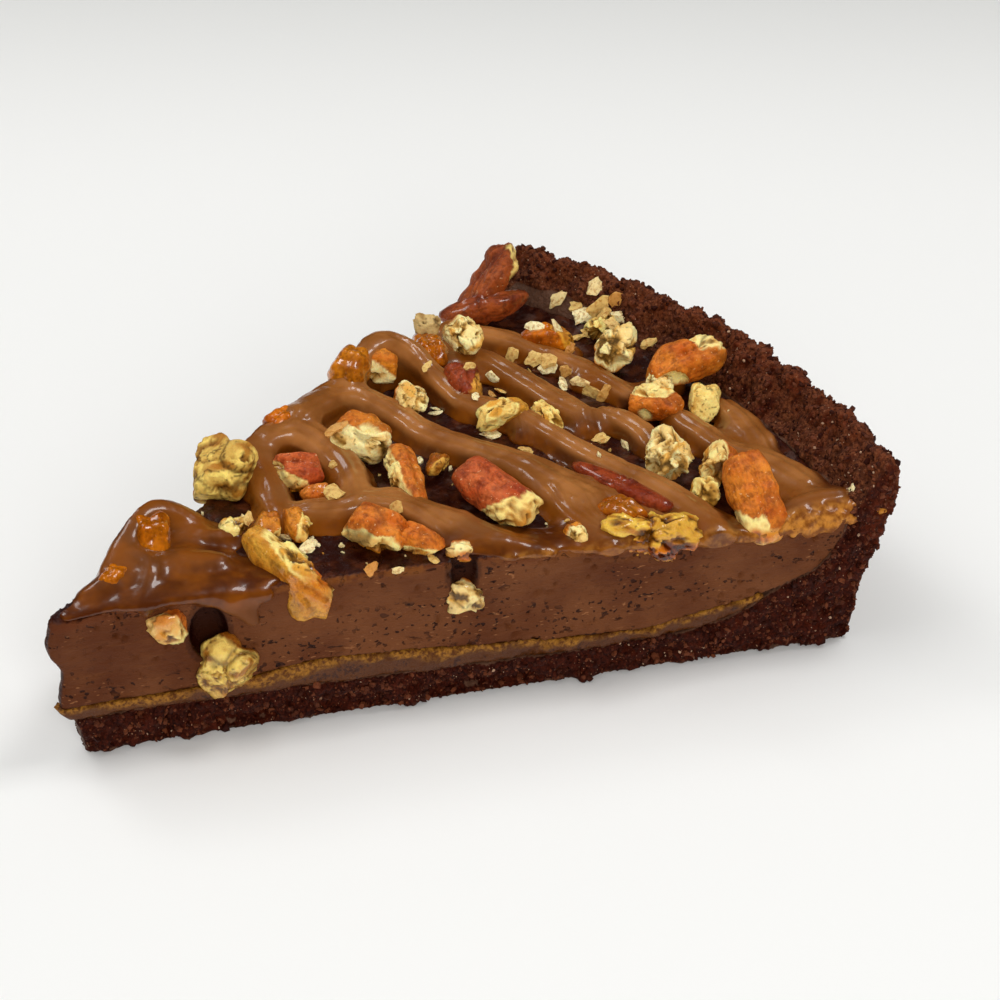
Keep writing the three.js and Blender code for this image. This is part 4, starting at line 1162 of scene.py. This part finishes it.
# Each strand gives how amber it is, from 0 for milky to 1. Then comes 0 for a round strand, or for a
# film that has run out from the others its thickness as a share of its width. The points are x, y,
# the height of the strand's centre above the filling and half its width.
drizzle = [
    (0, 0, [
        (64, 25, 3.4, 2.4), (70, 28, 6.4, 2.5), (75, 29.8, 7.2, 2.6), (79, 27.6, 5, 2.5),
        (80.6, 22, 2.2, 2.3), (80.4, 15, 1.4, 2.7), (82, 11, 1.1, 3), (85, 5, 1.3, 2.3),
        (85.8, -2, 1.2, 2.2), (86.8, -12, 1.2, 2.4), (89, -22, 1.1, 2.7), (90, -30, 0.9, 3),
        (90, -36, 0.2, 2.6),
    ]),
    (0, 0, [
        (53, 20, 4.4, 2.8), (60, 22.8, 3.8, 3), (65.5, 22.6, 2.6, 2.9), (68.4, 17, 1.6, 2.8),
        (69.2, 9, 1.2, 2.9), (72.4, 1, 1.2, 2.7), (75.6, -7, 1.5, 3.2), (76.4, -14, 1.7, 4),
        (77, -19.6, 1.4, 4.2),
    ]),
    (0, 0, [(75, -16, 1.1, 2.4), (73.8, -22, 1, 2.1), (74, -28, 0.4, 2.2), (74.6, -30, 0, 1.8)]),
    (0, 0, [(79, -15, 1.2, 2.4), (82.4, -22, 1, 2.1), (84.2, -28, 0.6, 2.1), (86, -32, 0.2, 2.2)]),
    (0, 0, [
        (46.5, 17.8, 3.4, 3), (51, 17.4, 3.4, 3.5), (53, 11, 2, 3.1), (52.2, 5, 1.5, 2.9),
        (50, 0, 1.5, 2.9), (47.6, -2.8, 1.5, 2.8), (43.6, -2, 1.5, 2.9), (40.8, 0.2, 1.1, 2.3),
    ]),
    (0.5, 0, [
        (46, 20, 3, 2.6), (43, 16.4, 2.6, 2.7), (41, 10.6, 1.6, 2.8), (39, 5, 0.9, 2.7),
        (37.4, 1, 0.7, 2.1),
    ]),
    (0, 0, [(50, -3.2, 1.3, 2.7), (54, -5, 1.3, 2.5), (55.4, -10, 1.2, 2.7), (58, -15, 1.1, 3.3)]),
    (0.45, 0, [(58.6, -17, 0.8, 3.2), (60, -20, 0.5, 2.9), (62.6, -23.2, 0.1, 2), (66, -26.4, 0, 1.1)]),
    (0, 0, [
        (93, 35, 1.8, 2.2), (99, 29, 1.3, 2.4), (101.4, 21, 1.2, 2.3), (103.8, 13, 1.1, 2.4),
        (104.4, 3, 0.9, 2.1),
    ]),
    (0, 0, [
        (88.6, 31, 1.8, 2.2), (92, 24, 1.4, 2.3), (92.6, 15, 1.3, 2.6), (92.8, 8, 1.3, 2.7),
        (93.6, 2, 1.2, 2.7),
    ]),
    (0.7, 0, [(93.6, 1.4, 0.8, 2.5), (92.6, -1.4, 0.2, 2.1)]),
    (0, 0, [(97.8, 0, 0.9, 2), (98.2, -5, 1.2, 2.4), (98, -10, 1.1, 2.4), (97, -14, 0.3, 1.9)]),
    (0, 0, [
        (106.4, -7, 0.9, 2.2), (106, -14, 1.2, 2.5), (105.8, -20, 1.1, 2.3), (108.4, -27, 1.1, 3.4),
        (108.8, -34, 0.8, 3.6),
    ]),
    (0.2, 0, [(102.4, -37.6, 0.3, 2.2), (106, -38.4, 0.7, 2.6), (110, -40.6, 0.5, 2.2)]),
    (0, 0, [(114.4, -9.6, 0.8, 2.1), (113.4, -15, 1, 2.4), (111.6, -21, 1.1, 2.8)]),
    (0.8, 0, [
        (6, 1.4, 0.2, 1.8), (11, 1.6, 0.5, 2.8), (16, 1.6, 0.7, 3.6), (20.6, -0.4, 0.7, 3.2),
        (24, -3, 0.5, 2.4),
    ]),
    (0.8, 0.22, [
        (1.8, 0, -0.1, 1.7), (6, 0, 0, 3.2), (11, -0.4, 0.1, 4.8), (17, -1.4, 0.1, 6.2),
        (22, -3.4, 0, 5.6), (26, -5.6, -0.3, 4.4), (29, -8, -0.4, 3.2),
    ]),
    (0.75, 0.3, [(17, 3, 0.3, 5), (22, 5, 0.4, 4.4), (27, 5, 0.2, 3.4), (30, 2, 0.1, 2.6)]),
    (0.7, 0.26, [
        (58, -17, 0.2, 4.6), (62, -20.6, 0, 4), (67, -23.6, 0, 3.2), (72, -25.6, 0, 2.8),
        (78, -27, 0.1, 3.4), (85, -30, 0.1, 4.2), (91, -33, 0.1, 4.2),
    ]),
    (0.75, 0.3, [(100, -36, 0.1, 3.4), (105, -38, 0.2, 4.2), (110, -40, 0.2, 3.6), (113.4, -42.4, 0, 2.6)]),
    (0.2, 0.34, [(106, -19, 0.3, 3.6), (107.6, -26, 0.5, 5), (107.6, -33, 0.5, 5.6), (107, -38, 0.3, 4.8)]),
    (0.75, 0.24, [(80, 24, 0.4, 3.4), (86, 26, 0.3, 4.2), (90, 24, 0.3, 3.6)]),
    (0.6, 0.26, [(46, 19, 0.6, 4.2), (52, 20, 0.6, 4.6), (60, 22, 0.5, 4.6), (67, 24, 0.4, 4.2)]),
    (0.7, 0, [
        (11, 3.6, 1, 1.9), (15, 6.4, 3, 1.9), (19.4, 9.2, 4.2, 2), (23.2, 9, 3.4, 2.1), (26, 7, 1, 2.2),
    ]),
    (0.75, 0, [(14.6, 3.4, 2.4, 1.8), (15.4, 0.6, 1.8, 1.9), (13, -2.6, 0.9, 1.5), (10.8, -3.9, 0.2, 1.2)]),
    (0.7, 0, [(24, 5.4, 0.8, 2.2), (27, 3, 0.8, 1.8), (30, 1.6, 0.6, 1.5)]),
    (0.75, 0, [(19, -6.8, -0.9, 1.5), (23, -8.8, -1, 1.7), (27.4, -10.6, -1.4, 1.5)]),
    (0.7, 0, [(22.6, -9, -1.8, 1.7), (24.2, -9.8, -3.6, 1.5), (25.4, -10.4, -5.4, 1.1)]),
    (0.75, 0, [(12.4, -4.2, -0.2, 1.3), (11.6, -4.6, -1.8, 0.8)]),
    (0.6, 0, [
        (58, -20.8, -0.2, 1.3), (61, -23, -0.5, 1.3), (64.4, -24.8, -0.3, 1.2), (68, -26.4, 0, 0.9),
        (71, -27.6, 0.1, 0.9),
    ]),
    (0.7, 0, [
        (70, -27.2, 0, 1.3), (77, -30, -0.2, 1.6), (85, -33, -0.4, 1.9), (92, -36.2, -0.5, 1.8),
        (98, -39, -0.5, 1.4),
    ]),
    (0.75, 0, [
        (99, -38.6, -0.6, 1.6), (105, -41, -0.8, 1.9), (110, -43, -0.8, 1.7), (114.5, -45, -0.7, 1.2),
    ]),
    (0.5, 0, [(64, 24.4, 1.4, 2.2), (69, 28, 1.6, 2.2), (75, 30, 2, 2.4), (79, 28, 2, 2.2)]),
    (0.1, 0, [(46, 20.4, 2.8, 2.4), (50, 23, 3, 2.7), (56.6, 25.6, 3.2, 2.5), (62.4, 26, 3.2, 2.4)]),
    (0.1, 0, [(48.6, 18.6, 2.6, 2.8), (54, 21, 2.6, 3.2), (60, 24.4, 2.4, 2.6)]),
    (0.15, 0, [(55, -14, 1, 2), (53.4, -8.2, 1.8, 1.9), (49.6, -4.8, 2.2, 2)]),
    (0.2, 0, [(82, -21, 1.2, 1.5), (83.6, -25, 1.2, 1.5), (84.4, -29.4, 0.8, 1.7)]),
    (0.3, 0, [(76.6, -22.4, 1.6, 1.6), (75.8, -26, 1.4, 1.6), (77.4, -30, 0.8, 1.7)]),
    (0.9, 0, [(80, 26, 1.4, 2.2), (84, 27.5, 1.2, 2.4), (88, 27.5, 1.2, 2.2)]),
    (0.9, 0, [(86, 23.5, 0.5, 1.8), (89, 25.5, 0.8, 1.8)]),
    (0.2, 0, [(91.4, 36, 1.6, 2.2), (95, 36.6, 1.8, 2.4), (98, 35.4, 1.2, 1.8)]),
    (0.8, 0, [(101.5, 21, 0.4, 1.6), (104, 23, 0.6, 2.4), (107, 21, 0.2, 1.8)]),
    (0.6, 0, [(104, 8, 0.6, 1.6), (101.6, 11.6, 0.5, 2), (104.6, 13.6, 0.4, 1.6)]),
    (0.7, 0, [(107, 5, 0.4, 1.4), (110, 3, 0.8, 1.8), (113, 2, 1.6, 2.2)]),
    (0.8, 0, [(84.6, 5, 1, 1.8), (83, 2.4, 0.3, 1.6)]),
]


def strand_beads(points):
    """Places along a strand, closer than its width, with the direction and the half width there."""
    centres = []
    for x, y, lift, _ in points:
        centres.append((x, y, float(ganache_top_at(np.array([x, y, 0.0]))) + lift))
    widths = [(half, 0, 0) for _, _, _, half in points]
    length = sum((Vector(there) - Vector(here)).length for here, there in zip(centres, centres[1:]))
    steps = max(4, round(length / bead_step))
    beads = []
    for step in range(steps + 1):
        share = step / steps
        place = on_line(centres, share)
        ahead = on_line(centres, min(1, share + 0.01)) - on_line(centres, max(0, share - 0.01))
        beads.append((place, ahead.normalized(), on_line(widths, share).x * wider))
    return beads


ball = bmesh.new()
bmesh.ops.create_icosphere(ball, subdivisions=3, radius=1)
ball_points, ball_faces = as_arrays(ball)

balls, stations, across_strand, half_widths, clearness = [], [], [], [], []
for number, (amber, film, line) in enumerate(drizzle):
    beads = strand_beads(line)
    bead_places = np.array([place[:] for place, _, _ in beads]) + number * noise_shift
    wobbles = 1 + strand_wobble * cloud(bead_places, 4.5)
    skirts = skirt_width + skirt_ragged * cloud(bead_places, 3.0, salt=5)
    for (place, ahead, half), wobble, skirt in zip(beads, wobbles, skirts):
        half *= wobble
        height = min(half * (film or strand_flatness), pool_depth)
        side = ahead.cross(Vector((0, 0, 1))).normalized()
        balls.append((place, (half, half, height)))
        ground = float(ganache_top_at(np.array(place)))
        lift = place.z - ground
        if skirt_lifts[0] < lift < skirt_lifts[1] and not film:
            balls.append((Vector((place.x, place.y, ground)), (half * skirt, half * skirt, skirt_depth)))
        stations.append(place[:])
        across_strand.append(side[:])
        half_widths.append(half)
        clearness.append(amber)
stations, across_strand = np.array(stations), np.array(across_strand)
half_widths, clearness = np.array(half_widths), np.array(clearness)
ball_parts = [(ball_points * np.array(radii) + np.array(place), ball_faces) for place, radii in balls]
ball_mesh = joined_mesh("balls", ball_parts)
sauce = bmesh.new()
sauce.from_mesh(ball_mesh)
bpy.data.meshes.remove(ball_mesh)

# Grown by the reach of a web, joined and shrunk again, so that caramel fills the clefts between
# neighbouring strands as it does when it flows together.
for growth, times in ((0, 2), (web_reach, 3), (web_left - web_reach, 3)):
    points, normals = points_and_normals(sauce)
    put_points(sauce, points + normals * growth)
    sauce = even_skin(sauce, drizzle_voxel)
    relax(sauce, times, 0.5)

points, normals = points_and_normals(sauce)
beyond_cut = np.full(len(points), -9.0)
for side in (-1, 1):
    angle = side * slice_angle / 2
    outward = np.array((-math.sin(angle), math.cos(angle), 0)) * side
    beyond = points @ outward - tip_half_width - sauce_overhang
    points -= outward * np.maximum(beyond, 0)[:, None]
    beyond_cut = np.maximum(beyond_cut, points @ outward - tip_half_width)
clear, lateral = [], []
for part in np.array_split(points, max(1, len(points) // points_at_once)):
    apart = ((part[:, None, :] - stations[None, :, :]) ** 2).sum(axis=2)
    weight = np.exp(-apart / mixing_spread)
    clear.append((weight @ clearness) / np.maximum(weight.sum(axis=1), 1e-9))
    nearest = apart.argmin(axis=1)
    lateral.append(((part - stations[nearest]) * across_strand[nearest]).sum(axis=1) / half_widths[nearest])
clear, lateral = np.concatenate(clear), np.concatenate(lateral)
lying = soft_step(normals[:, 2], 0.1, 0.6) * (np.abs(lateral) < 1) * (1 - clear) * (beyond_cut < -3)
ridge = ridge_height * lying * np.cos(lateral * 3 * math.pi) * (1 - lateral ** 2)
by_cut = soft_step(beyond_cut, -1.2, -0.2)
rear_end = soft_step(points[:, 0], *rear_radii)
worn_edge = soft_step(beyond_cut, -1.2 - 2.8 * rear_end, -0.2 - 1.2 * rear_end)
worn_edge = worn_edge * soft_step(points[:, 0], *worn_radii) * np.maximum(clear, rear_end)
rough = worn_edge * (0.6 * cloud(points, 1.7, salt=3) + 0.3 * (lumps(points, 0.9) - 0.5))
points += normals * (ridge + rough + 0.14 * cloud(points, 2.6) + 0.05 * cloud(points, 1.1))[:, None]
# Steep sides count as thinner than they are, so they turn amber and darker: painted shade on the strands'
# sides.
upward = soft_step(normals[:, 2], 0.1, 0.75)
below_top = ganache_top_at(points) - points[:, 2]
thick = np.where(beyond_cut > 0, 0.9 * (beyond_cut + 0.3), -below_top) * (0.45 + 0.55 * upward)
drape = by_cut * soft_step(below_top, 0.3, 3.6)
put_points(sauce, points, thick=np.clip(thick, 0, 6), clear=clear, drape=drape, edge=worn_edge)

caramel = Finish("milky_caramel")
thick = caramel.measure("thick").within(0.8, 3.0)
edge = caramel.measure("edge")
drape = caramel.measure("drape")
patch = caramel.spots(7, detail=3)
milky = caramel.blend((131, 79, 36), (164, 105, 54), patch.within(0.35, 0.65))
amber = caramel.blend((128, 68, 10), (74, 33, 3), patch.within(0.35, 0.65))
grainy = caramel.blend((126, 70, 16), (204, 134, 54), caramel.spots(1.4, detail=3).within(0.35, 0.65))
dull = (drape + edge * 0.7).within(0, 1)
colour = caramel.coats(
    milky,
    # Amber where the caramel is thin, and on the steep sides as painted shade.
    (amber, 1 - (1 - caramel.measure("clear")) * (0.1 + 0.9 * thick)),
    (grainy, edge * 0.85),
    ((104, 60, 28), drape * 0.9),
)
caramel_material = caramel.done(
    Base_Color=colour,
    Roughness=0.34 + 0.3 * dull,
    Specular_IOR_Level=0.25,
    Coat_Weight=0.5 - 0.4 * dull,
    Coat_Roughness=0.08,
    Subsurface_Weight=0.1,
    Subsurface_Radius=warm_depth,
    Subsurface_Scale=0.3,
    Normal=caramel.bump(caramel.spots(2.2, detail=2), 0.1),
)
sauce_tree = BVHTree.FromBMesh(sauce)
finished_piece("caramel_drizzle", sauce, caramel_material, ["ganache"])


# Crumbs and flakes of pecan: what broke off the pieces and fell on the topping and the rim. The
# larger ones lie where a line from the camera through x, y at the topping's height meets something.
flakes = [
    (35.5, -4, 2.4, 0), (36, -8.5, 3.4, 70), (38, -6.5, 1.2, 0), (33.5, 3.6, 2.2, 40),
    (40.4, -18.6, 2.6, 60), (47.6, 1.6, 3.6, 70), (49, -21.6, 2.2, 60), (63.4, 2.4, 1.8, 0),
    (58.4, 17.8, 3.2, 60), (73.6, 12.8, 2.2, 20), (74.4, 14, 1.6, 0), (77, 3.4, 4, 60), (78.2, -5, 2.6, 80),
    (88, 17, 2.4, 0), (82, 13.6, 1.8, 0), (86, 12.4, 3, 10), (84.4, 12.6, 2, 0), (95, 21.2, 2.6, 80),
    (97, 18, 3, 30), (98.6, 16.4, 3.4, 10), (97.4, 14.4, 3.2, 0), (98.4, 11.2, 2.8, 50),
    (98.2, 7.4, 2.6, 0), (95.4, 8, 3, 40), (97.4, 3, 4, 20), (99.4, 2.2, 2.6, 70), (89.2, -9, 3, 40),
    (91.6, -12.6, 2.4, 0), (86.8, 22, 1.8, 0), (103.8, 17.2, 2.4, 20), (107, 19.6, 2.6, 60),
    (109.6, 20, 2.2, 0), (113, 32.6, 3.4, 60), (114.4, 28.8, 2.6, 20), (113.6, 25.2, 4.2, 50),
    (117.4, 26.2, 4.6, 60), (116, 23.2, 4, 30), (117.6, 21, 3, 0), (115, 20.2, 2.6, 0),
    (121.4, 26.6, 3, 20), (121.6, 33, 3.2, 70), (115.4, 11, 2.4, 50), (104, 27, 3, 20), (106.4, 24, 3, 80),
    (81.4, 26.4, 2, 50), (110.6, -43, 2, 10), (52.6, -7, 2, 70), (43.6, -20.8, 1.8, 0),
]
flake_kinds = 10
flake_seed = 23
crumb_seed = 29
crumb_count = 34
crumb_radii = (30, 114)
crumb_across = (-0.9, 0.93)
highest_crumb = 28
smallest_crumb = 0.4
above_all = 60
down = Vector((0, 0, -1))
on_caramel = 0.15
flake_sink = 0.1
flake_growth = 1.1
flake_thickness = (0.2, 0.38)
seen_height = 26
eye = camera_place * 1000 + slice_middle
topping_trees = [filling_tree, sauce_tree] + pecan_trees


def first_met(start, way, trees):
    """The first point, with its normal, that a straight line from start meets."""
    best = None
    for tree in trees:
        place, normal, _, distance = tree.ray_cast(start, way)
        if place is not None and (best is None or distance < best[2]):
            best = (place, normal, distance)
    return best


draw = random.Random(flake_seed)
crumbs = []
for x, y, size, turn in flakes:
    sight = (Vector((x, y, seen_height)) - eye).normalized()
    found = first_met(eye, sight, topping_trees + [crust_tree])
    if found is None:
        continue
    place, normal, _ = found
    lean = normal.to_track_quat('Z', 'Y').to_matrix() @ Matrix.Rotation(math.radians(turn), 3, 'Z')
    lean = lean @ Euler((draw.uniform(-0.5, 0.5), draw.uniform(-0.4, 0.4), 0)).to_matrix()
    size *= flake_growth
    thickness = size * draw.uniform(*flake_thickness)
    place = place + normal * (thickness * 0.4 - flake_sink)
    shape = (size, size * draw.uniform(0.5, 0.8), thickness)
    crumbs.append((place, lean.to_euler(), shape, draw.randrange(flake_kinds), draw.random()))
draw = random.Random(crumb_seed)
while len(crumbs) < crumb_count + len(flakes):
    start = place_in_slice(draw.uniform(*crumb_radii), draw.uniform(*crumb_across), above_all)
    found = first_met(start, down, topping_trees)
    if found is None or found[0].z > highest_crumb or found[1].z < 0.5:
        continue
    bare_top = first_met(start, down, [filling_tree])
    if (bare_top is None or found[0].z > bare_top[0].z + 0.1) and draw.random() > on_caramel:
        continue
    size = smallest_crumb + draw.random() ** 3
    place = found[0] + found[1] * (0.2 * size)
    shape = (size, size * draw.uniform(0.6, 1), size * draw.uniform(0.4, 0.8))
    crumbs.append((place, random_turn(draw), shape, draw.randrange(flake_kinds), draw.random()))

flake = Finish("pecan_crumbs")
tone = flake.measure("tone")
fine = flake.spots(0.6, detail=3)
colour = flake.coats(
    (250, 234, 178),
    ((226, 186, 108), tone.within(0.1, 0.6)),
    ((204, 138, 66), tone.within(0.78, 0.97)),
    ((170, 108, 40), fine.within(0.45, 0.7) * 0.7),
)
flake_material = flake.done(
    Base_Color=colour,
    Roughness=0.55,
    Specular_IOR_Level=0.4,
    Subsurface_Weight=0.12,
    Subsurface_Radius=warm_depth,
    Subsurface_Scale=0.3,
    Normal=flake.bump(fine, 0.1),
)
flake_shapes = grain_shapes(flake_kinds, flake_seed, flatness=0.7, subdivisions=2, uneven=0.42)
joined_shapes("pecan_crumbs", flake_shapes, crumbs, flake_material, ["ganache"])
